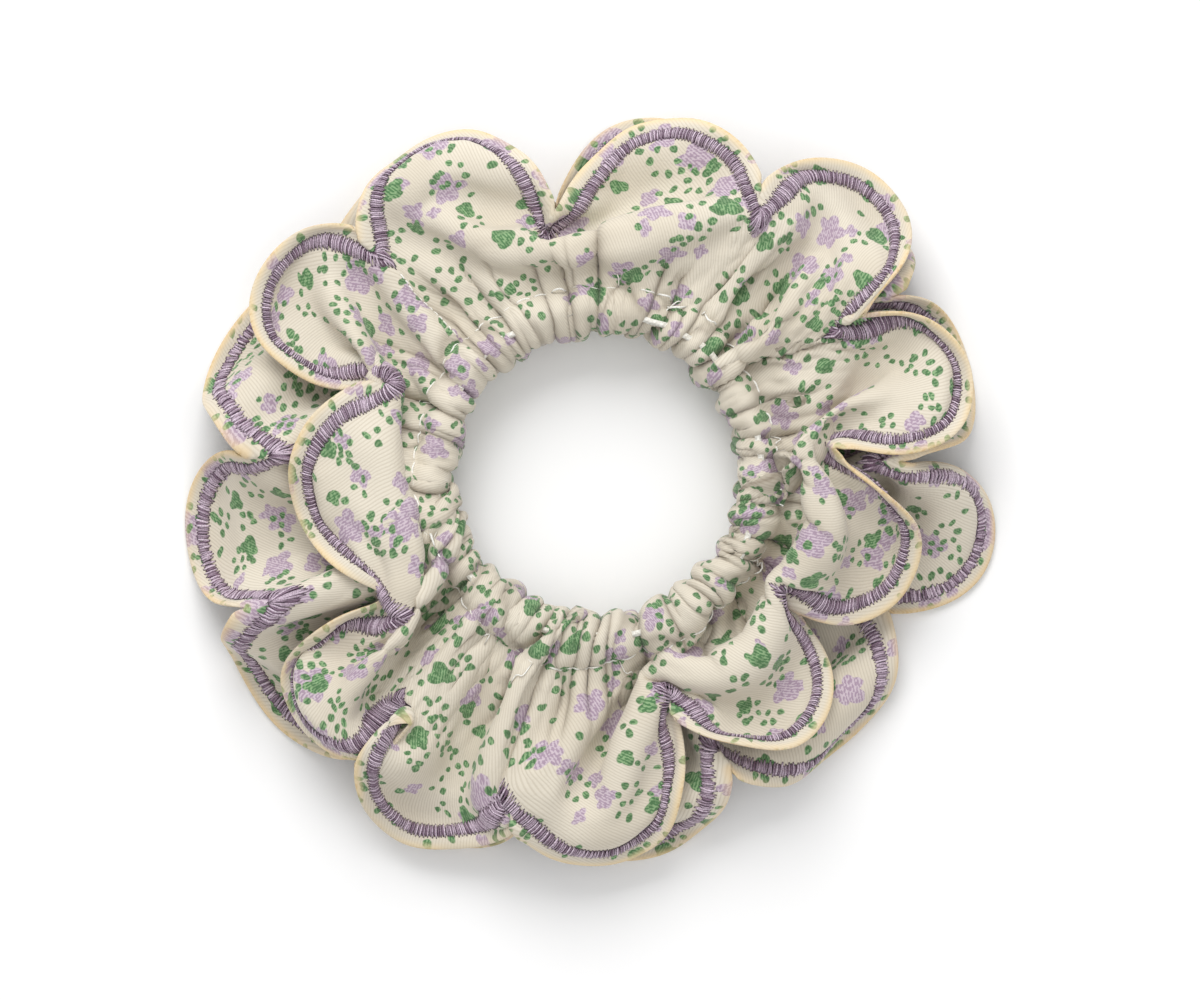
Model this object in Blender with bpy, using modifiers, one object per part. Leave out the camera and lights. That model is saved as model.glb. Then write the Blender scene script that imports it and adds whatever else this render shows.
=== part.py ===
"""A hair scrunchie: a ruffled double frill with scalloped, embroidered edges round an elastic.

A strip of outer fabric, lined with an inner fabric of the same cut, is folded lengthwise round a
flat elastic.  A seam beside the fold closes the casing, and the two free widths stand out as an
upper and a lower frill.  The ring stretches open along X, so each ring-shaped piece is made as a
left and a right half that meet at the plane x = 0.

Units are metres, +Z is up, and the origin is the middle of the underside.
"""

import math

import bmesh
import bpy
from mathutils import Vector

# ---------------------------------------------------------------- driving dimensions
MM = 0.001
POLE = Vector((0.0, 2.2 * MM, 0.0))     # all sections stand round this upright axis
RING_SHIFT_X = 0.9 * MM                 # the hair opening's centre lies this far from the pole

FOLD_RADIUS = 20.2 * MM                 # inner fold of the casing
SEAM_RADIUS = 27.2 * MM                 # where the casing closes
SEAM_WIDTH = 0.9 * MM                   # level strip that carries the seam
CASING_CENTRE_Z = 9.0 * MM
CASING_HALF_HEIGHT = 4.3 * MM
CASING_STEPS = 6
SEAM_TURN = math.radians(24.0)          # where the casing's ellipse is cut open by its seam
CASING_HALF_WIDTH = (SEAM_RADIUS - FOLD_RADIUS) / (1.0 + math.cos(SEAM_TURN))
CASING_MIDDLE_RADIUS = FOLD_RADIUS + CASING_HALF_WIDTH
SEAM_RISE = CASING_HALF_HEIGHT * math.sin(SEAM_TURN)

OUTER_THICKNESS = 0.5 * MM
INNER_THICKNESS = 0.4 * MM
CLEARANCE = 0.3 * MM                    # between pieces that touch on the real object
SPLIT_X = 0.3 * MM                      # each half stops this far from the plane x = 0

SATIN_INSET = 1.65 * MM                 # fabric edge to the embroidery
SATIN_WIDTH = 2.15 * MM
SATIN_THICKNESS = 0.7 * MM
THREAD_THICKNESS = 0.4 * MM
LINING_OFFSET = 0.5 * (OUTER_THICKNESS + INNER_THICKNESS) + CLEARANCE

ELASTIC_WIDTH = 5.0 * MM                # stands upright in the casing
ELASTIC_THICKNESS = 0.9 * MM

COLUMNS = 30                            # sections of the fabric in half a turn
ELASTIC_COLUMNS = 20
SEAM_ROW = 4                            # rows of a frill: edge, satin outside and inside, middle, seam
FRILL_REACH = 30.0 * MM                 # from the seam to the longest scallops
FULL_RUFFLE = math.radians(30.0)        # a scallop this wide ruffles to its full depth
LOBE_FULLNESS = 0.75                    # below 1 makes a scallop broad, above 1 makes it pointed
TIP_MARGIN = 0.4                        # a tip keeps this share of its scallop on either side
MITRE_LIMIT = 1.5
NOTCH_MIN_RADIUS = 38.0 * MM            # keeps room for the embroidery between notch and seam

UPPER_ARCH = 2.6 * MM                   # rise of the upper frill in the middle of a scallop
UPPER_CREST = 3.1 * MM                  # further rise where the cloth bunches behind a notch
UPPER_EDGE_DROP = 1.6 * MM
UPPER_NOTCH_LIFT = 3.6 * MM
LOWER_CREST = 3.2 * MM
LOWER_LANDING = 0.5                     # share of the lower frill that slopes down to the table

# Scallops, counter-clockwise: (notch x, notch y, tip x, tip y) in millimetres.
UPPER_SCALLOPS = (
    (12.2, -33.8, 34.4, -30.3), (29.2, -16.9, 45.8, -8.3), (35.9, 5.3, 54.9, 16.2),
    (39.3, 24.4, 41.5, 41.8), (25.0, 42.7, 11.2, 53.0), (-5.2, 39.0, -18.5, 52.1),
    (-31.9, 36.4, -49.0, 26.9), (-32.8, 16.1, -42.3, 2.7), (-27.2, -17.2, -40.5, -34.0),
    (-30.8, -34.1, -24.4, -51.8), (-13.8, -44.8, 1.2, -55.0),
)
LOWER_SCALLOPS = (
    (19.6, -41.5, 40.0, -38.0), (42.5, -18.0, 60.2, -5.3), (45.9, 4.2, 56.5, 15.5),
    (43.6, 29.1, 41.0, 42.5), (27.0, 43.0, 10.0, 55.0), (-8.0, 40.0, -20.0, 52.4),
    (-36.0, 38.0, -57.6, 16.2), (-50.3, 5.2, -60.0, -6.1), (-50.0, -18.0, -51.1, -29.5),
    (-35.0, -38.0, -22.0, -53.0), (-7.0, -44.0, 10.0, -54.4),
)

HALVES = {"left": 0.5 * math.pi, "right": -0.5 * math.pi}

CLOSING_SEAM_COLUMN = 11                # column of the left half that holds the strip's end seam
CLOSING_SEAM_WIDTH = 0.8 * MM
ELASTIC_JOIN_ANGLE = math.radians(200.0)
JOIN_ZIGZAGS = 5
JOIN_SPREAD = math.radians(20.0)
JOIN_HEIGHT = 3.6 * MM
JOIN_THREAD = 0.4 * MM


# ---------------------------------------------------------------- scene and materials
def clear_scene():
    for obj in list(bpy.data.objects):
        bpy.data.objects.remove(obj, do_unlink=True)


def make_material(name, colour, roughness):
    material = bpy.data.materials.new(name)
    material.use_nodes = True
    shader = material.node_tree.nodes["Principled BSDF"]
    shader.inputs["Base Color"].default_value = (*colour, 1.0)
    shader.inputs["Roughness"].default_value = roughness
    shader.inputs["Metallic"].default_value = 0.0
    return material


# ---------------------------------------------------------------- outlines of the frills
def smoothstep(value):
    value = min(max(value, 0.0), 1.0)
    return value * value * (3.0 - 2.0 * value)


def polar(x_mm, y_mm):
    """Angle and radius round the pole of a point given in millimetres."""
    offset = Vector((x_mm * MM, y_mm * MM, 0.0)) - POLE
    return math.atan2(offset.y, offset.x), offset.length


def scallop_polar(scallops):
    """Scallops as (notch angle, notch radius, tip angle, tip radius), from -1 to +2 turns."""
    lobes = []
    last = -math.tau
    for notch_x, notch_y, tip_x, tip_y in scallops:
        notch_angle, notch_radius = polar(notch_x, notch_y)
        tip_angle, tip_radius = polar(tip_x, tip_y)
        while notch_angle < last:
            notch_angle += math.tau
        while tip_angle < notch_angle:
            tip_angle += math.tau
        last = tip_angle
        lobes.append((notch_angle, max(notch_radius, NOTCH_MIN_RADIUS), tip_angle, tip_radius))
    for index, lobe in enumerate(lobes):
        after = lobes[index + 1][0] if index + 1 < len(lobes) else lobes[0][0] + math.tau
        room = TIP_MARGIN * (after - lobe[0])
        tip_angle = min(max(lobe[2], lobe[0] + room), after - room)
        lobes[index] = (lobe[0], lobe[1], tip_angle, lobe[3])
    turns = (-math.tau, 0.0, math.tau)
    return [(lobe[0] + turn, lobe[1], lobe[2] + turn, lobe[3]) for turn in turns for lobe in lobes]


def outline(lobes, angle):
    """Radius of the scalloped edge, and the height of the ruffle: 1 at a notch, least at a tip."""
    for lobe, following in zip(lobes, lobes[1:]):
        if lobe[0] <= angle <= following[0]:
            rising = angle <= lobe[2]
            notch_angle, notch_radius = (lobe if rising else following)[:2]
            toward_tip = (angle - notch_angle) / (lobe[2] - notch_angle)
            swell = math.sin(0.5 * math.pi * toward_tip) ** LOBE_FULLNESS
            radius = notch_radius + (lobe[3] - notch_radius) * swell
            depth = min((following[0] - lobe[0]) / FULL_RUFFLE, 1.0)
            return radius, 1.0 - depth * (0.5 - 0.5 * math.cos(math.pi * toward_tip))
    raise ValueError("angle outside the outline")


def column_angles(lobes, start):
    """Evenly spaced angles of half a turn, with the nearest one moved onto each notch and tip."""
    step = math.pi / COLUMNS
    angles = [start + step * column for column in range(COLUMNS + 1)]
    for angle in [angle for lobe in lobes for angle in (lobe[0], lobe[2])]:
        column = round((angle - start) / step)
        if 0 < column < COLUMNS:
            angles[column] = angle
    return angles


def on_ray(radius, angle, height):
    return POLE + Vector((radius * math.cos(angle), radius * math.sin(angle), height))


def ring_radius(radius, angle):
    return radius + RING_SHIFT_X * math.cos(angle)


def inset_outline(radii, angles, distance):
    """Radii of the outline moved into the cloth, further where its flanks are steep."""
    moved = []
    for index, radius in enumerate(radii):
        before = max(index - 1, 0)
        after = min(index + 1, len(radii) - 1)
        steepness = (radii[after] - radii[before]) / (radius * (angles[after] - angles[before]))
        moved.append(radius - distance * min(math.hypot(1.0, steepness), MITRE_LIMIT))
    return moved


# ---------------------------------------------------------------- sections of the fabric
def upper_height(share, notch):
    """Height of the upper frill: share runs from the seam, 0, to the edge, 1."""
    arch = math.sin(math.pi * share) * (UPPER_ARCH + UPPER_CREST * notch)
    edge = share * (UPPER_NOTCH_LIFT * notch - UPPER_EDGE_DROP)
    return CASING_CENTRE_Z + SEAM_RISE + arch + edge


def lower_height(share, notch):
    """Height of the lower frill, which lies level on the table outside its slope."""
    rest = 0.5 * OUTER_THICKNESS
    drop = CASING_CENTRE_Z - SEAM_RISE - rest
    slope = drop * (1.0 - smoothstep(share / LOWER_LANDING))
    return rest + slope + LOWER_CREST * smoothstep(notch * 1.6 - 0.6) * math.sin(math.pi * share)


def fabric_rows(half):
    """Rows of points of one half, from the upper edge round the casing to the lower edge."""
    start = HALVES[half]
    even = [start + math.pi * column / COLUMNS for column in range(COLUMNS + 1)]
    upper = frill_rows(UPPER_SCALLOPS, start, even, upper_height)
    lower = frill_rows(LOWER_SCALLOPS, start, even, lower_height)
    rows = upper + casing_rows(even) + lower[::-1]
    for row in rows:
        for column in (0, COLUMNS):
            row[column].x = 0.0
        for point in row:
            side = 1.0 if half == "right" else -1.0
            point.x = side * max(side * point.x, SPLIT_X)
    return rows


def frill_rows(scallops, start, even, height):
    """Edge, both sides of the embroidery, the middle of the cloth and the outside of the seam."""
    lobes = scallop_polar(scallops)
    angles = column_angles(lobes, start)
    edge = [outline(lobes, angle)[0] for angle in angles]
    outside = inset_outline(edge, angles, SATIN_INSET)
    inside = inset_outline(edge, angles, SATIN_INSET + SATIN_WIDTH)
    seam = [ring_radius(SEAM_RADIUS + SEAM_WIDTH, angle) for angle in angles]
    middle = [0.5 * (a + b) for a, b in zip(inside, seam)]
    rows = []
    for spread, radii in zip((1.0, 1.0, 1.0, 0.6, 0.0), (edge, outside, inside, middle, seam)):
        row = []
        for radius, snapped, plain in zip(radii, angles, even):
            angle = plain + (snapped - plain) * spread
            share = (radius - ring_radius(SEAM_RADIUS + SEAM_WIDTH, angle)) / FRILL_REACH
            ruffle = outline(lobes, angle)[1]
            row.append(on_ray(radius, angle, height(min(max(share, 0.0), 1.0), ruffle)))
        rows.append(row)
    return rows


def casing_rows(even):
    """The casing, an ellipse that is open where its seam closes it."""
    rows = []
    for step in range(CASING_STEPS + 1):
        turn = SEAM_TURN + (math.tau - 2.0 * SEAM_TURN) * step / CASING_STEPS
        height = CASING_CENTRE_Z + CASING_HALF_HEIGHT * math.sin(turn)
        radius = CASING_MIDDLE_RADIUS + CASING_HALF_WIDTH * math.cos(turn)
        rows.append([on_ray(ring_radius(radius, angle), angle, height) for angle in even])
    return rows


# ---------------------------------------------------------------- solids
def loft(rows):
    """An open surface through rows of points.  Its normals face out of the folded strip."""
    surface = bmesh.new()
    grid = [[surface.verts.new(point) for point in row] for row in rows]
    for row, following in zip(grid, grid[1:]):
        for column in range(len(row) - 1):
            corners = (row[column], row[column + 1], following[column + 1], following[column])
            surface.faces.new(corners)
    bmesh.ops.triangulate(surface, faces=surface.faces, quad_method="FIXED")
    surface.normal_update()
    return surface


def shifted(rows, distance):
    """The same rows moved along the surface's normals, outwards if the distance is positive."""
    surface = loft(rows)
    width = len(rows[0])
    surface.verts.ensure_lookup_table()
    moved = [vert.co + vert.normal * distance for vert in surface.verts]
    surface.free()
    result = [moved[start:start + width] for start in range(0, len(moved), width)]
    for row, original in zip(result, rows):
        for column in (0, width - 1):
            row[column].x = original[column].x
    return result


def make_shell(name, rows, thickness, material, collection):
    """A solid of even thickness round the surface through the rows."""
    surface = loft(rows)
    mesh = bpy.data.meshes.new(name)
    surface.to_mesh(mesh)
    surface.free()
    mesh.materials.append(material)
    mesh.shade_smooth()
    obj = bpy.data.objects.new(name, mesh)
    collection.objects.link(obj)
    solidify = obj.modifiers.new("thickness", "SOLIDIFY")
    solidify.thickness = thickness
    solidify.offset = 0.0
    return obj


def make_fabric(half, rows, materials, collection):
    make_shell(f"outer_fabric_{half}", rows, OUTER_THICKNESS, materials["outer"], collection)
    lining = shifted(rows, -LINING_OFFSET)
    make_shell(f"inner_fabric_{half}", lining, INNER_THICKNESS, materials["inner"], collection)


def make_embroidery(half, rows, materials, collection):
    """Satin stitch bands on the upper face of each frill, over rows 1 and 2 from each edge."""
    above = 0.5 * (OUTER_THICKNESS + SATIN_THICKNESS) + CLEARANCE
    upper = shifted(rows, above)[1:3]
    make_shell(f"upper_satin_{half}", upper, SATIN_THICKNESS, materials["satin"], collection)
    above_lining = LINING_OFFSET + 0.5 * (INNER_THICKNESS + SATIN_THICKNESS) + CLEARANCE
    lower = shifted(rows, -above_lining)[-3:-1]
    make_shell(f"lower_satin_{half}", lower, SATIN_THICKNESS, materials["satin"], collection)


def make_casing_seams(half, rows, materials, collection):
    """The seam's needle thread above the ring and its bobbin thread below."""
    clear = 0.5 * (OUTER_THICKNESS + THREAD_THICKNESS) + CLEARANCE
    outside = shifted(rows, clear)
    for side, start in (("upper", SEAM_ROW), ("lower", len(rows) - SEAM_ROW - 2)):
        name = f"{side}_casing_seam_{half}"
        make_shell(name, outside[start:start + 2], THREAD_THICKNESS, materials["thread"], collection)


def make_elastic(half, materials, collection):
    """Half of the elastic's ring, a flat band that stands upright in the casing."""
    start = HALVES[half]
    side = 1.0 if half == "right" else -1.0
    rows = []
    for level in (0.5, -0.5):
        height = CASING_CENTRE_Z + level * ELASTIC_WIDTH
        row = []
        for column in range(ELASTIC_COLUMNS + 1):
            angle = start + math.pi * column / ELASTIC_COLUMNS
            point = on_ray(ring_radius(CASING_MIDDLE_RADIUS, angle), angle, height)
            point.x = side * max(side * point.x, SPLIT_X)
            row.append(point)
        rows.append(row)
    make_shell(f"elastic_{half}", rows, ELASTIC_THICKNESS, materials["elastic"], collection)


def make_elastic_join(materials, collection):
    """A zigzag line of thread on the outer face of the elastic, where its ends are joined."""
    clear = 0.5 * (ELASTIC_THICKNESS + JOIN_THREAD) + CLEARANCE
    radius = ring_radius(CASING_MIDDLE_RADIUS, ELASTIC_JOIN_ANGLE) + clear
    rows = []
    for level in (0.5, -0.5):
        row = []
        for turn in range(2 * JOIN_ZIGZAGS + 1):
            share = turn / (2.0 * JOIN_ZIGZAGS) - 0.5
            angle = ELASTIC_JOIN_ANGLE + share * JOIN_SPREAD
            zigzag = (-1.0) ** turn * 0.5 * JOIN_HEIGHT
            height = CASING_CENTRE_Z + zigzag + level * JOIN_THREAD
            row.append(on_ray(radius, angle, height))
        rows.append(row)
    make_shell("elastic_join_stitches", rows, JOIN_THREAD, materials["thread"], collection)


def make_closing_seam(rows, materials, collection):
    """The thread that joins the strip's ends, on the facing sides of the two frills."""
    lining = LINING_OFFSET + 0.5 * (INNER_THICKNESS + THREAD_THICKNESS) + CLEARANCE
    inside = shifted(rows, -lining)
    for side, frill in (("upper", inside[:SEAM_ROW + 1]), ("lower", inside[:-SEAM_ROW - 2:-1])):
        cloth, middle, seam = (row[CLOSING_SEAM_COLUMN].copy() for row in frill[2:])
        along = frill[3][CLOSING_SEAM_COLUMN + 1] - middle
        route = (cloth.lerp(middle, 0.25), middle, middle.lerp(seam, 0.6))
        across = along.normalized() * CLOSING_SEAM_WIDTH
        strip = [[point, point + across] for point in route]
        make_shell(f"closing_seam_{side}", strip, THREAD_THICKNESS, materials["thread"], collection)


def main():
    clear_scene()
    collection = bpy.data.collections.new("scrunchie")
    bpy.context.scene.collection.children.link(collection)
    materials = {
        "outer": make_material("printed_twill", (0.79, 0.74, 0.65), 0.85),
        "inner": make_material("lining_twill", (0.76, 0.70, 0.60), 0.88),
        "satin": make_material("satin_thread", (0.27, 0.18, 0.34), 0.45),
        "thread": make_material("sewing_thread", (0.86, 0.84, 0.80), 0.6),
        "elastic": make_material("braided_elastic", (0.85, 0.84, 0.82), 0.75),
    }
    for half in HALVES:
        rows = fabric_rows(half)
        make_fabric(half, rows, materials, collection)
        make_embroidery(half, rows, materials, collection)
        make_casing_seams(half, rows, materials, collection)
        make_elastic(half, materials, collection)
        if half == "left":
            make_closing_seam(rows, materials, collection)
    make_elastic_join(materials, collection)


main()
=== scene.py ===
import math

import bpy
import numpy as np
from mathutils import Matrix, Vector


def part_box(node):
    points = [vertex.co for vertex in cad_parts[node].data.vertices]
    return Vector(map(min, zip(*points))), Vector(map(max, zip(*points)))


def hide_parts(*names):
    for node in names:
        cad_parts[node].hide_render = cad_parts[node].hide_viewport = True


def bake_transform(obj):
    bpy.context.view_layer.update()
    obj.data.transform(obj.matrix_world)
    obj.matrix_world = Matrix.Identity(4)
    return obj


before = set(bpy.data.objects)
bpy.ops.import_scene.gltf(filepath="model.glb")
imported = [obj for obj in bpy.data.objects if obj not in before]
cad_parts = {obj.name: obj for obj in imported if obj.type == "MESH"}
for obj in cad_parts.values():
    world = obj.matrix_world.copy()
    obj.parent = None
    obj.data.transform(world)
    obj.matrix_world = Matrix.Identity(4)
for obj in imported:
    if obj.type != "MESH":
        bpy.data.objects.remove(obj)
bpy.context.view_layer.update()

# Lengths are in millimetres until a mesh is made. The cloth is one strip, folded in a U round
# the elastic. u runs along the strip, clockwise seen from above, and w across it: w is 0 at the
# innermost fold, positive on the upper half and negative on the lower half.
MM = 0.001
# Seeds of the random draws.
DRAPE_SEED = 3
RELIEF_SEED = 11
SEAM_SEED = 5
UPPER_SATIN_SEED = 21
LOWER_SATIN_SEED = 22

# ---------------- sizes taken from the frame


def node_box(*nodes):
    """Lowest and highest corner, in mm, of several CAD nodes together."""
    boxes = [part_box(name) for name in nodes]
    low = np.min([np.array(b[0]) for b in boxes], axis=0) / MM
    high = np.max([np.array(b[1]) for b in boxes], axis=0) / MM
    return low, high


ELASTIC_LOW, ELASTIC_HIGH = node_box("elastic_left", "elastic_right")
RING = 0.5 * (ELASTIC_LOW + ELASTIC_HIGH)
ELASTIC_WIDTH = ELASTIC_HIGH[2] - ELASTIC_LOW[2]
ELASTIC_THICKNESS = 0.9
ELASTIC_RADIUS = 0.5 * (ELASTIC_HIGH[0] - ELASTIC_LOW[0] - ELASTIC_THICKNESS)
# The casing seam runs outside the elastic, and the innermost fold inside it.
SEAM_RADIUS = ELASTIC_RADIUS + 3.4
FOLD_RADIUS = ELASTIC_RADIUS - 3.3

# ---------------- the cut of the strip

# Scallops along each edge. The notches lie NOTCH out from the casing seam, the tips DEPTH more,
# and SWEEP is half the angle through which a scallop's arc turns.
LOBES = 11
PITCH = 33.0
LENGTH = LOBES * PITCH
NOTCH = 20.0
DEPTH = 15.5
SWEEP = math.radians(62.0)
CASING = 23.0
HALF_CASING = 0.5 * CASING
# Length of one scallop that shows at the seam and at the notches: the fan that holds the print.
SHOWN_SEAM_PITCH = 20.5
SHOWN_NOTCH_PITCH = 27.5
FAN = NOTCH * SHOWN_SEAM_PITCH / (SHOWN_NOTCH_PITCH - SHOWN_SEAM_PITCH)
FAN_ANGLE = LOBES * SHOWN_SEAM_PITCH / FAN
# Share of the cloth that shows at the innermost fold, at the seam and, at least, in a frill.
FOLD_SHARE = 0.40
SEAM_SHARE = 0.61
LEAST_SHARE = 0.30
# Direction of the strip's first column, seen from the ring's centre.
START_ANGLE = math.radians(131.0)

# The simulated grid; the surface made from it has FINE columns for each of its own.
PER_LOBE = 28
COLUMNS = LOBES * PER_LOBE
FINE = 3
FRILL_ROWS = 20
CASING_ROWS = 14
UPPER_SEAM = FRILL_ROWS
FOLD_ROW = UPPER_SEAM + CASING_ROWS // 2
LOWER_SEAM = UPPER_SEAM + CASING_ROWS
ROWS = LOWER_SEAM + FRILL_ROWS + 1

# Satin stitch: how far inside the edge, how wide, and how it is drawn to a point at the notches.
SATIN_INSET = 1.8
SATIN_WIDTH = 1.85
SATIN_MITRE = 2.0
POINT_REACH = 2.0
BAND_LENGTH = 41.0
STITCH_SPACING = 0.25
UNDERLAY_SPACING = 1.3

# Where the middle line of the upper embroidery lies, clockwise from the upper left: the point of
# the notch before the scallop, then five places at these shares of the scallop's band.
SHARES = (0.0, 0.17, 0.33, 0.5, 0.67, 0.83)
UPPER_BAND = (
    ((-30.3, 33.3), (-31.9, 40.1), (-28.3, 45.9), (-21.5, 49.4), (-13.8, 48.0), (-9.0, 43.4)),
    ((-6.8, 36.5), (-0.5, 42.3), (3.9, 47.4), (10.8, 50.9), (17.4, 50.2), (22.2, 45.5)),
    ((24.3, 39.0), (29.8, 44.2), (36.1, 45.0), (41.1, 40.4), (42.4, 34.9), (40.5, 29.1)),
    ((35.4, 22.8), (41.1, 23.2), (48.1, 21.8), (52.7, 17.1), (49.6, 11.2), (41.5, 8.6)),
    ((32.3, 6.4), (37.1, 3.3), (41.7, -2.4), (43.6, -9.3), (40.5, -15.9), (32.7, -16.3)),
    ((26.9, -14.4), (29.1, -19.6), (32.3, -24.4), (31.7, -31.0), (25.4, -34.9), (17.1, -33.5)),
    ((10.0, -29.5), (10.9, -36.1), (9.7, -44.2), (4.5, -51.5), (-2.9, -52.5), (-9.0, -48.6)),
    ((-13.0, -44.9), (-15.2, -48.3), (-20.7, -49.9), (-26.1, -47.5), (-29.2, -42.0), (-29.2, -35.4)),
    ((-28.1, -31.0), (-32.5, -34.1), (-38.3, -35.2), (-41.7, -32.2), (-37.6, -26.9), (-32.0, -22.6)),
    ((-26.8, -18.0), (-31.0, -14.2), (-35.4, -9.0), (-39.6, 0.5), (-38.9, 8.6), (-33.9, 12.5)),
    ((-28.3, 15.0), (-34.6, 17.2), (-42.3, 20.1), (-46.7, 26.4), (-44.2, 32.9), (-37.6, 36.4)),
)
# Height above the table of the same scallops: at the notch, the sides and the tip.
UPPER_HEIGHTS = (
    (9, 9, 10), (11, 9, 9), (10, 9.5, 9), (11, 9.5, 9), (12, 9, 8.5), (12, 9.5, 8.5),
    (10.5, 10, 10.5), (9, 9, 9), (9, 9.5, 10.5), (14.5, 13, 10.5), (12, 9.5, 9),
)
# The cloth behind this notch is folded under, because the notch lies so close to the casing.
TUCKED_NOTCH = 9
# Edge of the lower frill, which lies on the table: the notch before the scallop, then its tip.
LOWER_EDGE = (
    ((-36.0, 36.0), (-20.0, 52.4)), ((-6.0, 40.5), (10.0, 55.0)), ((26.0, 42.0), (40.5, 42.5)),
    ((43.6, 29.1), (56.5, 15.5)), ((45.9, 4.2), (60.0, -5.3)), ((42.5, -18.0), (38.5, -37.0)),
    ((19.6, -41.5), (9.0, -54.6)), ((-9.0, -44.5), (-23.0, -51.5)), ((-33.0, -39.0), (-50.6, -29.5)),
    ((-50.0, -18.0), (-60.0, -6.1)), ((-50.3, 5.2), (-57.6, 16.2)),
)


def even_points(points, shares):
    """Points at the given shares of a polyline's length."""
    steps = np.linalg.norm(np.diff(points, axis=0), axis=1)
    run = np.concatenate([[0.0], np.cumsum(steps)])
    wanted = np.asarray(shares) * run[-1]
    return np.stack([np.interp(wanted, run, points[:, k]) for k in (0, 1)], -1)


def scallop(shares):
    """Flat edge of one scallop: distance along the strip and from the casing seam."""
    turn = np.linspace(-SWEEP, SWEEP, 401)
    along = 0.5 * PITCH * (1 + np.sin(turn) / math.sin(SWEEP))
    out = NOTCH + DEPTH * (np.cos(turn) - math.cos(SWEEP)) / (1 - math.cos(SWEEP))
    return even_points(np.stack([along, out], 1), shares)


def inset_scallop(inset, mitre, shares):
    """The scallop's edge moved inwards, drawn to a point at the notches."""
    edge = scallop(np.linspace(0, 1, 401))
    way = np.gradient(edge, axis=0)
    way /= np.linalg.norm(way, axis=1)[:, None]
    moved = edge + inset * np.stack([way[:, 1], -way[:, 0]], 1)
    keep = (moved[:, 0] > 0.15 * inset) & (moved[:, 0] < PITCH - 0.15 * inset)
    point = NOTCH - inset * mitre
    points = np.vstack([[0.0, point], moved[keep], [PITCH, point]])
    return even_points(points, shares)


EDGE_SHARES = np.linspace(0, 1, 401)
EDGE_TABLE = scallop(EDGE_SHARES)


def unit(vector):
    """The same direction, with a length of 1."""
    return vector / np.linalg.norm(vector)


def arms_of_notch(point, before, after, along, out):
    """Places on both arms of a notch's V, opened as it is cut and turned towards its scallops."""
    outward = unit(unit(before - point) + unit(after - point))
    clockwise = np.array([outward[1], -outward[0]])
    middle = point + outward * out
    return middle - clockwise * along, middle + clockwise * along


def smooth_line(points):
    """A smooth curve through the points, as a fine polyline."""
    run = np.concatenate([[0.0], np.cumsum(np.linalg.norm(np.diff(points, axis=0), axis=1))])
    slope = np.gradient(points, run, axis=0)
    at = np.linspace(0, run[-1], 241)
    i = np.clip(np.searchsorted(run, at, "right") - 1, 0, len(run) - 2)
    span = (run[i + 1] - run[i])[:, None]
    t = (at - run[i])[:, None] / span
    return (
        (2 * t**3 - 3 * t**2 + 1) * points[i] + (t**3 - 2 * t**2 + t) * span * slope[i]
        + (3 * t**2 - 2 * t**3) * points[i + 1] + (t**3 - t**2) * span * slope[i + 1]
    )


def edge_at(column):
    """Flat edge point of a column, which may lie between two whole columns."""
    lobe = np.floor(column / PER_LOBE)
    share = column / PER_LOBE - lobe
    along = lobe * PITCH + np.interp(share, EDGE_SHARES, EDGE_TABLE[:, 0])
    out = np.interp(share, EDGE_SHARES, EDGE_TABLE[:, 1])
    return along, out


def flat_place(row, column):
    """Flat (u, w) of a place in the grid, for broadcast rows and columns."""
    row, column = np.broadcast_arrays(row, column)
    seam_u = column * LENGTH / COLUMNS
    edge_u, edge_out = edge_at(column)
    upper = np.clip((UPPER_SEAM - row) / FRILL_ROWS, 0, 1)
    lower = np.clip((row - LOWER_SEAM) / FRILL_ROWS, 0, 1)
    share = upper + lower
    u = seam_u * (1 - share) + edge_u * share
    middle = HALF_CASING * (1 - 2 * (np.clip(row, UPPER_SEAM, LOWER_SEAM) - UPPER_SEAM) / CASING_ROWS)
    w = middle + edge_out * (upper - lower)
    return u, w


def grid_place(u, out, lower):
    """Row and column of a frill point given by u and its distance out from the casing seam."""
    low = u * COLUMNS / LENGTH - 12.0
    high = u * COLUMNS / LENGTH + 12.0
    for _ in range(30):
        middle = 0.5 * (low + high)
        edge_u, edge_out = edge_at(middle)
        share = out / edge_out
        past = middle * LENGTH / COLUMNS * (1 - share) + edge_u * share > u
        high = np.where(past, middle, high)
        low = np.where(past, low, middle)
    column = 0.5 * (low + high)
    share = out / edge_at(column)[1]
    return frill_row(share, lower), column


def frill_row(share, lower):
    """Row of a place at a share of a frill's width."""
    return LOWER_SEAM + FRILL_ROWS * share if lower else UPPER_SEAM - FRILL_ROWS * share


def wrapped(distance):
    """A distance along the strip, measured the short way round."""
    return (distance + LENGTH / 2) % LENGTH - LENGTH / 2


def smooth(value, low, high):
    """0 below low, 1 above high, eased in between; low may be the larger one."""
    x = np.clip((value - low) / (high - low), 0, 1)
    return x * x * (3 - 2 * x)


def lattice_noise(rng, u, w, cell_u, cell_w):
    """Smooth noise of about -1 to 1, periodic along the strip."""
    count = max(3, round(LENGTH / cell_u))
    rows = int(200 / cell_w) + 4
    values = rng.uniform(-1, 1, size=(count, rows))
    a = u / LENGTH * count
    b = (w + 100) / cell_w
    i, j = np.floor(a).astype(int), np.floor(b).astype(int)
    fa, fb = a - i, b - j
    fa, fb = fa * fa * (3 - 2 * fa), fb * fb * (3 - 2 * fb)
    i0, i1 = i % count, (i + 1) % count
    lower = values[i0, j] * (1 - fa) + values[i1, j] * fa
    upper = values[i0, j + 1] * (1 - fa) + values[i1, j + 1] * fa
    return lower * (1 - fb) + upper * fb


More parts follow.
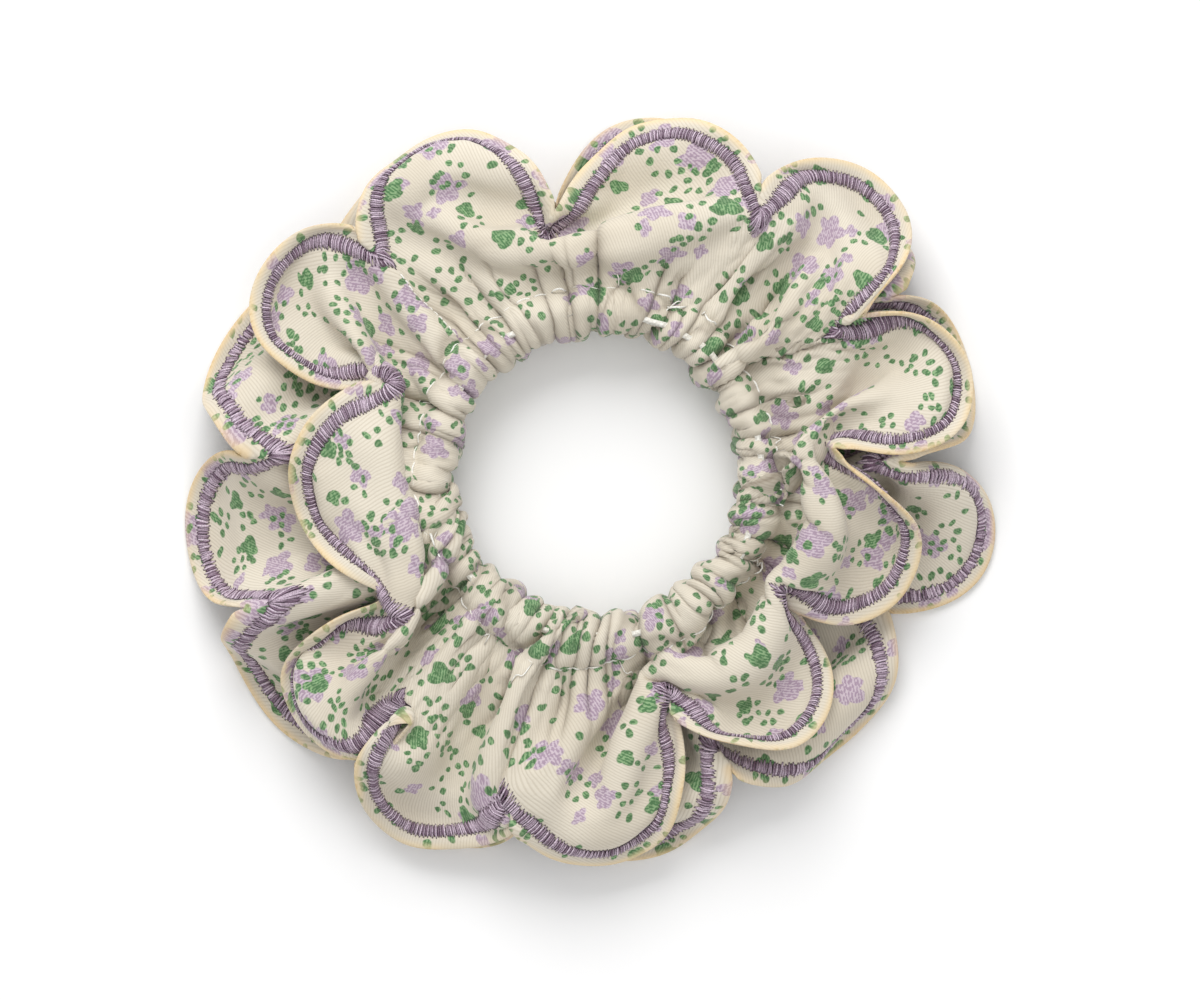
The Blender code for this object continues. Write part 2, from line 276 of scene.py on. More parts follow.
def edge_distance(u, w, per_lobe):
    """Flat distance of a grid's frill points from the scalloped edge; all scallops are alike."""
    outline = scallop(np.linspace(0, 1, PER_LOBE * FINE * 4 + 1))
    outline = np.vstack([outline + [k * PITCH, 0] for k in (-1, 0, 1)])
    place = np.stack([u[:, :per_lobe], np.abs(w[:, :per_lobe]) - HALF_CASING], -1)
    distance = np.array([
        np.linalg.norm(row[:, None] - outline[None], axis=-1).min(1) for row in place
    ])
    return np.tile(distance, (1, LOBES))


# ---------------- cloth simulation

# Half the distance between the two seam lines, and the greatest height of a frill.
TIE = 1.5
CEILING = 15.0
# The first shape: the waves round the ring, and their height in a frill and in the casing.
FIRST_WAVES = 26
FRILL_WAVE = 2.6
CASING_WAVE = 1.2
# How far the edge lies outside the band's middle line, along a scallop and at a notch.
EDGE_PAST_BAND = 2.7
EDGE_PAST_NOTCH = 5.5
# Patches of cloth that are drawn to a place: their size, how far inside the lower edge they lie,
# the share of a scallop's band at which the arms of a V are held, and the mitre of the V there.
PATCH_RADIUS = 2.6
EDGE_PATCH_INSET = 2.2
ARM_SHARE = 0.085
PATCH_MITRE = 2.2
# Share of the way that a rule moves the cloth, each time that it is applied.
BAND_PULL = 0.15
BAND_LIFT = 0.03
NOTCH_LIFT = 0.06
EDGE_PULL = 0.25
EDGE_ARM_PULL = 0.1
RING_PULL = 0.25
RING_LIFT = 0.02
TIE_PULL = 0.6
FOLD_PUSH = 0.7
ELASTIC_PUSH = 0.4
FRILL_PUSH = 0.5
CEILING_PUSH = 0.4
REACH_PULL = 0.3
UPPER_LAYER_PUSH = 0.6
LOWER_LAYER_PUSH = 0.4
APART_PUSH = 0.6
# Room round the elastic for the casing, sideways and at its rims, and least height of the cloth.
ELASTIC_SIDE_ROOM = 1.6
ELASTIC_RIM_ROOM = 0.9
TABLE_GAP = 0.7
# Cells along each axis of the grid in which near points are looked up.
CELL_COUNT = 512
# Links that only push do so below this share of their length.
SLACK = 0.96
# At each step: the share of its speed that the cloth keeps, and how much it gains downwards.
SPEED_KEPT = 0.85
GRAVITY = 0.012
STEPS = 300
ROUNDS_PER_STEP = 3
APART_EVERY = 4


def share_at_notches(notches, u):
    """Share of the cloth that shows at the height of the notches, from the gaps between them."""
    gaps = np.linalg.norm(np.roll(notches, -1, axis=0) - notches, axis=1)
    shares = np.minimum(LEAST_SHARE + (1 - LEAST_SHARE) * gaps / PITCH, 1.0)
    centres = (np.arange(-1, LOBES + 1) + 0.5) * PITCH
    return np.interp(u % LENGTH, centres, [shares[-1], *shares, shares[0]])


def shown_share(u, w):
    """Share of the cloth's length that shows; modelled tucks hide the rest."""
    inside = np.minimum(np.abs(w) / HALF_CASING, 1.0)
    casing = FOLD_SHARE + (SEAM_SHARE - FOLD_SHARE) * inside**1.3
    upper = share_at_notches(np.array(UPPER_BAND)[:, 0], u)
    lower = share_at_notches(np.array(LOWER_EDGE)[:, 0], u)
    frill = np.where(w > 0, upper, lower)
    out = np.abs(w) - HALF_CASING
    share = casing + (frill - SEAM_SHARE) * np.clip(out / 14.0, 0, 1)
    return share + (1 - share) * smooth(edge_distance(u, w, PER_LOBE), 8.5, 4.5)


def from_ring(points):
    """Direction away from the ring's centre, seen from above, and distance from it."""
    away = points[..., :2] - RING[:2]
    radius = np.linalg.norm(away, axis=-1)[..., None]
    return away / radius, radius


class Strip:
    """The gathered strip as a grid of points, held by distances, its band and the table."""

    def __init__(self):
        self.rng = np.random.default_rng(DRAPE_SEED)
        row, column = np.meshgrid(np.arange(ROWS), np.arange(COLUMNS), indexing="ij")
        self.flat = np.stack(flat_place(row, column), -1)
        self.share = shown_share(self.flat[..., 0], self.flat[..., 1])
        self.points = self.first_shape().reshape(-1, 3)
        self.links = []
        self.make_links(row, column)
        self.patches = []
        self.make_patches()
        tips = np.linalg.norm(np.array(LOWER_EDGE)[:, 1] - RING[:2], axis=1)
        self.lower_reach = np.repeat(tips, PER_LOBE)[:, None]

    def ring_line(self, marks, at):
        """Straight runs between marked places round the strip, read at distances along it."""
        u = np.array([m[0] for m in marks])
        xy = np.array([m[1:] for m in marks])
        u = np.concatenate([u - LENGTH, u, u + LENGTH])
        xy = np.vstack([xy, xy, xy])
        return np.stack([np.interp(at, u, xy[:, k]) for k in (0, 1)], 1)

    def first_shape(self):
        """A rough gathered ring, waved where the cloth will fold."""
        shape = np.zeros((ROWS, COLUMNS, 3))
        column = np.arange(COLUMNS)
        angle = START_ANGLE - column / COLUMNS * math.tau
        round_ring = np.stack([np.cos(angle), np.sin(angle)], 1)
        seam = RING[:2] + SEAM_RADIUS * round_ring
        edge_u = column * PITCH / PER_LOBE
        band, notches, tips = [], [], []
        for k in range(LOBES):
            for share, place in zip(SHARES, UPPER_BAND[k]):
                reach = EDGE_PAST_BAND if share else EDGE_PAST_NOTCH
                edge = place + unit(place - RING[:2]) * reach
                band.append(((k + share) * PITCH, *edge))
            notches.append((k * PITCH, *LOWER_EDGE[k][0]))
            tips.append(((k + 0.5) * PITCH, *LOWER_EDGE[k][1]))
        upper_edge = self.ring_line(band, edge_u)
        share = (column % PER_LOBE) / PER_LOBE
        bulge = np.sin(np.pi * share)[:, None] ** 0.6
        lower_edge = self.ring_line(notches, edge_u) * (1 - bulge) + self.ring_line(tips, edge_u) * bulge
        u = column * LENGTH / COLUMNS
        phase = angle * FIRST_WAVES + 2.2 * lattice_noise(self.rng, u, 0 * u, 11.0, 50.0)
        wave = np.sin(phase) * (1 + 0.5 * lattice_noise(self.rng, u, 0 * u, 14.0, 50.0))
        lobe_wave = np.cos(math.tau * share)
        tucked = np.exp(-((wrapped(edge_u - TUCKED_NOTCH * PITCH) / 8.0) ** 2))
        for j in range(FRILL_ROWS + 1):
            t = j / FRILL_ROWS
            ripple = FRILL_WAVE * (1 - t) ** 1.5 * wave
            lift = 2.5 * math.sin(math.pi * t * 0.75) * lobe_wave
            under = (4.0 * t**3 - 8.0 * math.sin(math.pi * t)) * tucked
            upper = shape[UPPER_SEAM - j]
            upper[:, :2] = seam * (1 - t) + upper_edge * t
            upper[:, 2] = RING[2] + 1.5 + 2.5 * math.sin(math.pi * min(t * 1.1, 1)) + ripple + lift + t
            upper[:, 2] += under
            lower = shape[LOWER_SEAM + j]
            lower[:, :2] = seam * (1 - t) + lower_edge * t
            lower[:, 2] = (RING[2] - 1.5) * (1 - t) ** 2 + ripple * (1 - t) + 0.6 * lift + 0.8
        middle = 0.5 * (SEAM_RADIUS + FOLD_RADIUS)
        reach = 0.5 * (SEAM_RADIUS - FOLD_RADIUS) + 0.3
        for j in range(1, CASING_ROWS):
            turn = 0.30 + (math.tau - 0.6) * j / CASING_ROWS
            radius = middle + reach * math.cos(turn) + 0.5 * wave * math.sin(turn / 2) ** 2
            casing = shape[UPPER_SEAM + j]
            casing[:, :2] = RING[:2] + radius[:, None] * round_ring
            ripple = CASING_WAVE * wave * (0.4 + 0.6 * abs(math.cos(turn / 2)))
            casing[:, 2] = RING[2] + 4.0 * math.sin(turn) + ripple
        return shape

    def rest_length(self, a, b):
        """Flat distance between grid points, less the cloth that the tucks take up."""
        away = self.flat[b] - self.flat[a]
        along = wrapped(away[:, 0]) * 0.5 * (self.share[a] + self.share[b])
        return np.sqrt(along**2 + away[:, 1] ** 2)

    def make_links(self, row, column):
        """Distances that the cloth keeps, in sets whose links share no point."""

        def link(where, down, right, strength, push_only=False):
            r, c = row[where], column[where]
            far = (c + right) % COLUMNS
            rest = self.rest_length((r, c), (r + down, far))
            first = r * COLUMNS + c
            second = (r + down) * COLUMNS + far
            self.links.append((first, second, rest[:, None], strength, push_only))

        for p in (0, 1):
            odd_row = (row % 2 == p) & (row < ROWS - 1)
            link(column % 2 == p, 0, 1, 1.0)
            link(odd_row, 1, 0, 1.0)
            link(odd_row, 1, 1, 0.5)
            link(odd_row, 1, -1, 0.5)
            link(column % 4 // 2 == p, 0, 2, 0.35, True)
            link((row % 4 // 2 == p) & (row < ROWS - 2), 2, 0, 0.35, True)
            link((row % 8 // 4 == p) & (row < ROWS - 4), 4, 0, 0.12, True)
        last_block = column >= COLUMNS - 4
        link(column % 8 < 4, 0, 4, 0.12, True)
        link((column % 8 >= 4) & ~last_block, 0, 4, 0.12, True)
        # The embroidered edge is stiffer than the cloth.
        edge = (row < 4) | (row >= ROWS - 4)
        for p in (0, 1):
            link(edge & (column % 4 // 2 == p), 0, 2, 0.9)
            link(edge & (column % 8 // 4 == p) & ~last_block, 0, 4, 0.8, True)
            link(edge & (column % 14 // 7 == p), 0, 7, 0.7, True)
        for p in range(LOBES):
            link(edge & (column // PER_LOBE == p) & (column % PER_LOBE < PER_LOBE // 2),
                 0, PER_LOBE // 2, 0.5, True)

    def make_patches(self):
        """Patches of cloth that are drawn to a place: the upper band and the lower edge."""

        def patch(u, w, place, pull_flat, pull_up):
            away = self.flat.reshape(-1, 2) - [u, w]
            away[:, 0] = wrapped(away[:, 0])
            inside = np.nonzero((away**2).sum(1) < PATCH_RADIUS**2)[0]
            self.patches.append((inside, np.array(place), np.array([pull_flat, pull_flat, pull_up])))

        # The middle line of the upper band: its notch, the arms of the V, then even places.
        inset = SATIN_INSET + 0.5 * SATIN_WIDTH
        shares = np.array((0.0, ARM_SHARE, *SHARES[1:], 1 - ARM_SHARE))
        flat_band = inset_scallop(inset, PATCH_MITRE, shares)
        along, out = flat_band[1] - flat_band[0]
        band = np.array(UPPER_BAND)
        arms = [arms_of_notch(band[k, 0], band[k - 1, -1], band[k, 1], along, out) for k in range(LOBES)]
        for k in range(LOBES):
            after = (k + 1) % LOBES
            marks = np.vstack([band[k, 0], arms[k][1], band[k, 1:], arms[after][0], band[after, 0]])
            places = even_points(smooth_line(marks), shares)
            notch, side, tip = UPPER_HEIGHTS[k]
            next_notch = UPPER_HEIGHTS[after][0]
            heights = np.interp(shares, (0, 0.2, 0.5, 0.8, 1), (notch, side, tip, side, next_notch))
            for share, flat, place, height in zip(shares, flat_band, places, heights):
                lift = NOTCH_LIFT if share in (0, ARM_SHARE, 1 - ARM_SHARE) else BAND_LIFT
                patch(k * PITCH + flat[0], HALF_CASING + flat[1], (*place, height), BAND_PULL, lift)

        # The lower edge is only drawn to its place sideways; it lies on the table by itself.
        edge = np.array(LOWER_EDGE)
        notch_w = EDGE_PATCH_INSET - HALF_CASING - NOTCH
        for k in range(LOBES):
            notch, tip = edge[k]
            near_tip = tip - EDGE_PATCH_INSET * unit(tip - RING[:2])
            patch((k + 0.5) * PITCH, notch_w - DEPTH, (*near_tip, 0.0), EDGE_PULL, 0.0)
            before, after = arms_of_notch(notch, edge[k - 1, 1], tip, along, out)
            inwards = EDGE_PATCH_INSET * unit(notch - 0.5 * (before + after))
            for side, place, far, pull in ((0, notch, 0, EDGE_PULL), (-along, before, out, EDGE_ARM_PULL),
                                           (along, after, out, EDGE_ARM_PULL)):
                patch(k * PITCH + side, notch_w - far, (*(place + inwards), 0.0), pull, 0.0)

    def pull_links(self):
        """Each linked pair moves towards its rest length, both points by the same amount."""
        points = self.points
        for first, second, rest, strength, push_only in self.links:
            way = points[second] - points[first]
            length = np.sqrt((way * way).sum(1))[:, None] + 1e-9
            if push_only:
                change = np.minimum(length - SLACK * rest, 0.0)
            else:
                change = length - rest
            way *= change / length * (0.5 * strength)
            points[first] += way
            points[second] -= way

    def pull_patches(self):
        """Each patch moves as a whole towards its place."""
        for inside, place, pull in self.patches:
            self.points[inside] += (place - self.points[inside].mean(0)) * pull

    def keep_casing(self):
        """The seam stays on its ring, and the casing outside the elastic and the opening."""
        grid = self.points.reshape(ROWS, COLUMNS, 3)
        upper, lower = grid[UPPER_SEAM], grid[LOWER_SEAM]
        middle = 0.5 * (upper + lower)
        outward, radius = from_ring(middle)
        middle[:, :2] += outward * (SEAM_RADIUS - radius) * RING_PULL
        middle[:, 2] += (RING[2] - middle[:, 2]) * RING_LIFT
        apart = upper - lower
        apart *= TIE / (np.linalg.norm(apart, axis=1)[:, None] + 1e-6)
        upper += (middle + apart - upper) * TIE_PULL
        lower += (middle - apart - lower) * TIE_PULL

        casing = grid[UPPER_SEAM + 1 : LOWER_SEAM]
        outward, radius = from_ring(casing)
        casing[..., :2] += outward * np.maximum(FOLD_RADIUS - radius, 0) * FOLD_PUSH
        outward, radius = from_ring(casing)
        side = radius - ELASTIC_RADIUS
        height = casing[..., 2:] - RING[2]
        rim = 0.5 * ELASTIC_WIDTH + ELASTIC_RIM_ROOM
        nearness = np.sqrt((side / ELASTIC_SIDE_ROOM) ** 2 + (height / rim) ** 2)
        push = np.where(nearness < 1, (1 / np.maximum(nearness, 0.2) - 1) * ELASTIC_PUSH, 0)
        casing[..., 2:] += height * push
        casing[..., :2] += outward * (side * push)

        for frill in (grid[:UPPER_SEAM], grid[LOWER_SEAM + 1 :]):
            outward, radius = from_ring(frill)
            frill[..., :2] += outward * np.maximum(SEAM_RADIUS - 1.0 - radius, 0) * FRILL_PUSH
            # The scrunchie has been patted flat.
            frill[..., 2] -= CEILING_PUSH * np.maximum(frill[..., 2] - CEILING, 0)
        lower_frill = grid[LOWER_SEAM + 1 :]
        outward, radius = from_ring(lower_frill)
        lower_frill[..., :2] += outward * np.minimum(self.lower_reach - radius, 0) * REACH_PULL

    def keep_layers(self, gap=1.6, cell=1.6, reach=75.0):
        """The upper frill stays above the lower one, and that one above the table."""
        grid = self.points.reshape(ROWS, COLUMNS, 3)
        upper, lower = grid[: UPPER_SEAM - 1], grid[LOWER_SEAM + 2 :]
        grid[..., 2] = np.maximum(grid[..., 2], TABLE_GAP)
        count = int(2 * reach / cell) + 6

        def cells(part):
            place = np.clip(((part[..., :2] + reach) / cell).astype(int), 1, count - 2)
            return place[..., 0], place[..., 1]

        top = np.full((count, count), -1e3)
        np.maximum.at(top, cells(lower), lower[..., 2])
        for axis in (0, 1):
            spread = np.maximum(np.roll(top, 1, axis), np.roll(top, -1, axis)) - 0.5
            top = np.maximum(top, spread)
        upper[..., 2] += np.maximum(top[cells(upper)] + gap - upper[..., 2], 0) * UPPER_LAYER_PUSH
        bottom = np.full((count, count), 1e3)
        np.minimum.at(bottom, cells(upper), upper[..., 2])
        lower[..., 2] -= np.maximum(lower[..., 2] + gap - bottom[cells(lower)], 0) * LOWER_LAYER_PUSH
        lower[..., 2] = np.maximum(lower[..., 2], TABLE_GAP)

    def keep_apart(self, radius=1.3):
        """Points that are far apart in the cloth don't come close in space."""
        points = self.points
        key = np.floor(points / radius).astype(np.int64) + CELL_COUNT // 2
        code = (key[:, 0] * CELL_COUNT + key[:, 1]) * CELL_COUNT + key[:, 2]
        order = np.argsort(code, kind="stable")
        ordered = code[order]
        row, column = np.divmod(np.arange(len(points)), COLUMNS)
        move = np.zeros_like(points)
        hits = np.zeros(len(points))
        for dx, dy, dz in np.ndindex(3, 3, 3):
            step = ((dx - 1) * CELL_COUNT + dy - 1) * CELL_COUNT + dz - 1
            if step < 0:
                continue
            start = np.searchsorted(ordered, code + step, "left")
            count = np.searchsorted(ordered, code + step, "right") - start
            active = np.nonzero(count)[0]
            a = np.repeat(active, count[active])
            skipped = np.repeat(np.cumsum(count[active]) - count[active], count[active])
            b = order[np.repeat(start[active], count[active]) + np.arange(len(a)) - skipped]
            columns_apart = np.abs(column[a] - column[b])
            columns_apart = np.minimum(columns_apart, COLUMNS - columns_apart)
            keep = (columns_apart > 2) | (np.abs(row[a] - row[b]) > 2)
            if step == 0:
                keep &= a < b
            a, b = a[keep], b[keep]
            way = points[b] - points[a]
            length = np.sqrt((way * way).sum(1)) + 1e-6
            near = length < radius
            a, b, length = a[near], b[near], length[near]
            push = way[near] / length[:, None] * ((radius - length) * 0.5)[:, None]
            np.add.at(move, a, -push)
            np.add.at(move, b, push)
            np.add.at(hits, a, 1)
            np.add.at(hits, b, 1)
        near = hits > 0
        points[near] += move[near] / np.sqrt(hits[near])[:, None] * APART_PUSH

    def settle(self, steps):
        """Lets the cloth find its shape and returns the grid of points."""
        speed = np.zeros_like(self.points)
        for step in range(steps):
            before = self.points.copy()
            self.points += SPEED_KEPT * speed
            self.points[:, 2] -= GRAVITY
            for _ in range(ROUNDS_PER_STEP):
                self.pull_links()
                self.pull_patches()
                self.keep_casing()
            self.keep_layers()
            if step % APART_EVERY == 0:
                self.keep_apart()
            speed = self.points - before
        return self.points.reshape(ROWS, COLUMNS, 3)


# ---------------- fine surface

FINE_COLUMNS = COLUMNS * FINE
# Rows of the fine surface at a rolled edge, counted from the edge.
EDGE_STATIONS = (0.0, 0.06, 0.16, 0.32, 0.55, 0.85, 1.2, 1.6, 2.0, 2.5, 3.0)
# Rows from the edge that belong to the stiff rim, and beyond which the cloth is free.
RIM_ROWS = 4.0
FREE_ROWS = 10.0
RIM_ROUNDS = 6
# Least height of the underside above the table.
FLOOR_GAP = 0.58
# Tucks at the seam and at the innermost fold: ranges of their spacing, depth and reach.
SEAM_TUCKS = (4.5, 15.0), (0.6, 2.0), (6.0, 20.0)
FOLD_TUCKS = (4.5, 13.0), (0.5, 1.4), (6.0, 12.0)
# Ranges of the widths of a tuck's two sides, and the width of its dark slit.
STEEP_SIDE = (0.45, 0.8)
EASED_SIDE = (1.8, 6.5)
SLIT_WIDTH = 0.55
# Heights of the small forms: the bulge between tucks, as a share of their spacing, the groove of
# the stitches, ruffles at the fold, soft creases, wider waves, sharp creases, and puckers.
BULGE = 0.03
GROOVE_DEPTH = 0.20
RUFFLE_HEIGHT = 0.55
CREASE_HEIGHT = 0.22
WAVE_HEIGHT = 0.25
SHARP_DEPTH = 0.38
PUCKER_HEIGHT = 0.14
# Half the thickness of the two plies together, how much of it the satin stitch presses out, and
# how far in from the edge the roll of the turned edge reaches.
HALF_THICKNESS = 0.32
PRESSED = 0.14
ROLL_RADIUS = 0.55


def row_stations():
    """Rows of the fine surface: close together at the rolled edges, even elsewhere."""
    upper = np.concatenate([EDGE_STATIONS, np.linspace(3.5, UPPER_SEAM, 34)])
    casing = np.linspace(UPPER_SEAM, LOWER_SEAM, 25)[1:]
    lower = ROWS - 1 - np.concatenate([EDGE_STATIONS, np.linspace(3.8, FRILL_ROWS, 25)])[::-1][1:]
    return np.concatenate([upper, casing, lower])


def even_rims(grid):
    """The embroidered rims are stiff, so small waves along them are evened out."""
    row, column = np.arange(ROWS)[:, None], np.arange(COLUMNS)[None]
    from_edge = np.minimum(row, ROWS - 1 - row)
    from_notch = np.minimum(column % PER_LOBE, -column % PER_LOBE)
    share = smooth(from_edge, FREE_ROWS, RIM_ROWS) * np.ones_like(from_notch)
    # The points of the notches stay sharp, seen from above.
    flat_share = share * smooth(from_notch, 1.0, 4.0)
    share = np.stack([flat_share, flat_share, share], -1)
    for _ in range(RIM_ROUNDS):
        mean = 0.5 * (np.roll(grid, 1, axis=1) + np.roll(grid, -1, axis=1))
        grid = grid + 0.5 * share * (mean - grid)
    return grid


def spline_weights(share):
    """Catmull-Rom weights of the four neighbours."""
    a, b = share**2, share**3
    return np.stack([-0.5 * b + a - 0.5 * share, 1.5 * b - 2.5 * a + 1,
                     -1.5 * b + 2 * a + 0.5 * share, 0.5 * b - 0.5 * a], -1)


def refined(grid, rows, columns):
    """The grid read between its points, periodic along its columns."""
    first = 2 * grid[:1] - grid[1:2]
    last = 2 * grid[-1:] - grid[-2:-1]
    padded = np.concatenate([first, grid, last])
    base = np.clip(np.floor(rows).astype(int), 0, len(grid) - 2)
    weights = spline_weights(rows - base)
    grid = (padded[base[:, None] + np.arange(4)] * weights[:, :, None, None]).sum(1)
    base = np.floor(columns).astype(int)
    weights = spline_weights(columns - base)
    around = (base[:, None] + np.arange(-1, 3)) % grid.shape[1]
    return (grid[:, around] * weights[None, :, :, None]).sum(2)


def normals_of(grid):
    """Unit normals of a grid; they point to the outside of the folded strip."""
    down = np.gradient(grid, axis=0)
    right = np.roll(grid, -1, axis=1) - np.roll(grid, 1, axis=1)
    normal = np.cross(down, right)
    return normal / (np.linalg.norm(normal, axis=-1)[..., None] + 1e-12)


def gathers(rng, u, out, spacing, depth, reach):
    """Tucks that run out from the seam. Each is steep on one side and eased on the other.

    Gives the height and, from 0 to 1, how deep in a tuck's slit a place is."""
    knots = [0.0]
    while knots[-1] < LENGTH - spacing[0]:
        knots.append(knots[-1] + rng.uniform(*spacing))
    knots = np.array(knots) * LENGTH / knots[-1]
    count = len(knots) - 1
    depths = rng.uniform(*depth, size=count)
    reaches = rng.uniform(*reach, size=count)
    steep = rng.uniform(*STEEP_SIDE, size=count)
    eased = rng.uniform(*EASED_SIDE, size=count)
    leans = rng.random(count) < 0.5
    place = u % LENGTH
    left = np.clip(np.searchsorted(knots, place, "right") - 1, 0, count - 1)
    right = (left + 1) % count
    gap = knots[left + 1] - knots[left]
    share = (place - knots[left]) / gap
    height = BULGE * np.minimum(gap, 12.0) * np.sin(np.pi * share) * (1 - smooth(out, 2.0, reach[1]))
    slit = np.zeros_like(height)
    for index, distance, lean in ((left, share * gap, leans), (right, (1 - share) * gap, ~leans)):
        width = np.where(lean[index], steep[index], eased[index])
        fade = 1 - smooth(out, 0.3 * reaches[index], reaches[index])
        height -= depths[index] * fade * np.exp(-distance / width)
        slit = np.maximum(slit, fade * np.exp(-distance / SLIT_WIDTH))
    return height, slit


def relief(u, w, edge):
    """Height of the tucks, ruffles, creases and puckers over the simulated surface, and the slits."""
    rng = np.random.default_rng(RELIEF_SEED)
    out = np.abs(w) - HALF_CASING
    slant = 2.6 * lattice_noise(rng, u, w, 30.0, 16.0) + 0.9 * lattice_noise(rng, u, w, 9.0, 6.0)
    height = np.zeros_like(u)
    slit = np.zeros_like(u)
    for side in (1, -1):
        half = w * side > 0
        tucks, slits = gathers(rng, u + slant, np.maximum(out, 0), *SEAM_TUCKS)
        root = 0.55 + 0.45 * smooth(out, 0.0, 3.0)
        fold = 0.35 + 0.65 * smooth(np.abs(w), 0.0, 5.0)
        height = np.where(half, tucks * np.where(out > 0, root, 0.7 * fold), height)
        slit = np.where(half, slits * np.where(out > 0, 1.0, fold), slit)
    # Small ruffles round the innermost fold.
    ruffle, fold_slit = gathers(rng, u + 1.2 * slant, np.abs(w), *FOLD_TUCKS)
    ruffle += RUFFLE_HEIGHT * lattice_noise(rng, u, w, 6.0, 4.0)
    near_fold = smooth(np.abs(w), 10.5, 6.5)
    height += ruffle * near_fold
    slit = np.maximum(slit, 0.8 * fold_slit * near_fold)
    # The casing stitches lie in a faint groove, on cloth that is bunched up over the seam.
    uneven = 0.7 + 0.3 * lattice_noise(rng, u, w, 4.0, 50.0)
    bunched = 0.55 + 0.45 * lattice_noise(rng, u, w, 7.0, 5.0)
    height += bunched * np.exp(-((out / 2.8) ** 2)) - GROOVE_DEPTH * np.exp(-((out / 0.6) ** 2)) * uneven
    # Soft creases that run outwards, weaker towards the scallops.
    crease = lattice_noise(rng, u + slant, w, 4.5, 14.0) * CREASE_HEIGHT
    crease += lattice_noise(rng, u, w, 9.0, 9.0) * WAVE_HEIGHT
    height += crease * smooth(edge, 2.5, 9.0) * (1 - 0.4 * smooth(out, 4.0, 18.0))
    # Thin sharp creases that wander and branch, nearly all close to the casing.
    line = lattice_noise(rng, u + 1.5 * slant, w, 6.5, 13.0)
    sharp = np.exp(-((line / 0.11) ** 2)) * (1 - smooth(out, 3.0, 15.0))
    height -= SHARP_DEPTH * sharp
    slit = np.maximum(slit, 0.55 * sharp)
    # The satin stitch draws the cloth in, and the cloth puckers beside it.
    pucker = lattice_noise(rng, u, w, 2.2, 6.0)
    beside = smooth(edge, 3.4, 4.4) * smooth(edge, 9.0, 4.6)
    height += PUCKER_HEIGHT * pucker * beside
    return height, slit


def ply_half(edge, out):
    """Half the distance between the two plies."""
    rolled = np.sqrt(np.clip(1 - (1 - np.clip(edge / ROLL_RADIUS, 0, 1)) ** 2, 0, 1))
    band_end = SATIN_INSET + SATIN_WIDTH
    under_band = smooth(edge, SATIN_INSET - 0.5, SATIN_INSET) * smooth(edge, band_end + 0.7, band_end)
    half = HALF_THICKNESS - PRESSED * under_band - 0.04 * smooth(edge, 5.0, 9.0)
    return half * rolled * (1 - 0.4 * np.exp(-(out**2)))


class Fabric:
    """The two plies of the strip, with the means to place stitches on them."""

    def __init__(self, grid):
        self.rows = row_stations()
        self.columns = np.arange(FINE_COLUMNS) / FINE
        u, w = flat_place(self.rows[:, None], self.columns[None])
        edge = edge_distance(u, w, PER_LOBE * FINE)
        middle = refined(even_rims(grid), self.rows, self.columns)
        height, self.slit = relief(u, w, edge)
        middle += normals_of(middle) * height[..., None]
        normal = normals_of(middle)
        half = ply_half(edge, np.abs(w) - HALF_CASING)[..., None]
        self.outer = middle + normal * half
        self.inner = middle - normal * half
        self.outer[..., 2] = np.maximum(self.outer[..., 2], FLOOR_GAP)
        self.inner[..., 2] = np.maximum(self.inner[..., 2], FLOOR_GAP + 1.2 * half[..., 0])
        self.outer_normal = normals_of(self.outer)
        self.inner_normal = -normals_of(self.inner)
        self.edge = edge

    def at(self, row, column, inner):
        """Place and outward normal on a ply, at grid rows and columns."""
        points = self.inner if inner else self.outer
        normals = self.inner_normal if inner else self.outer_normal
        a = np.interp(row, self.rows, np.arange(len(self.rows)))
        b = column * FINE
        i = np.clip(np.floor(a).astype(int), 0, len(self.rows) - 2)
        j = np.floor(b).astype(int)
        fa, fb = (a - i)[..., None], (b - j)[..., None]
        j0, j1 = j % FINE_COLUMNS, (j + 1) % FINE_COLUMNS

        def read(field):
            upper = field[i, j0] * (1 - fb) + field[i, j1] * fb
            lower = field[i + 1, j0] * (1 - fb) + field[i + 1, j1] * fb
            return upper * (1 - fa) + lower * fa

        place, normal = read(points), read(normals)
        return place, normal / (np.linalg.norm(normal, axis=-1)[..., None] + 1e-12)


# ---------------- meshes


def make_object(name, points, quads, material):
    """A smooth mesh object from points in mm and quads."""
    mesh = bpy.data.meshes.new(name)
    mesh.vertices.add(len(points))
    mesh.vertices.foreach_set("co", (np.asarray(points) * MM).astype(np.float32).ravel())
    mesh.loops.add(4 * len(quads))
    mesh.loops.foreach_set("vertex_index", np.asarray(quads, np.int32).ravel())
    mesh.polygons.add(len(quads))
    mesh.polygons.foreach_set("loop_start", np.arange(len(quads), dtype=np.int32) * 4)
    mesh.update(calc_edges=True)
    mesh.shade_smooth()
    mesh.materials.append(material)
    piece = bpy.data.objects.new(name, mesh)
    bpy.context.scene.collection.objects.link(piece)
    return piece


def add_point_value(piece, name, values):
    """A number for each vertex, for the material to read."""
    layer = piece.data.attributes.new(name, "FLOAT", "POINT")
    layer.data.foreach_set("value", np.asarray(values, np.float32).ravel())


def add_uv(piece, name, corners):
    """A UV map from one (x, y) for each face corner."""
    layer = piece.data.uv_layers.new(name=name)
    layer.uv.foreach_set("vector", np.asarray(corners, np.float32).ravel())


# The maps are in decimetres. The weave is drawn together along the strip, as the tucks hide a part.
MAP_UNIT = 0.01
WEAVE_SHARE = 0.8
# How far apart the print is taken for the lower half and for the inner ply.
LOWER_PRINT_SHIFT = 190.0
INNER_PRINT_SHIFT = (80.0, 210.0)
# Points round a strand's D-shaped section, and along a satin stitch.
STRAND_SIDES = 4
STITCH_STATIONS = 5


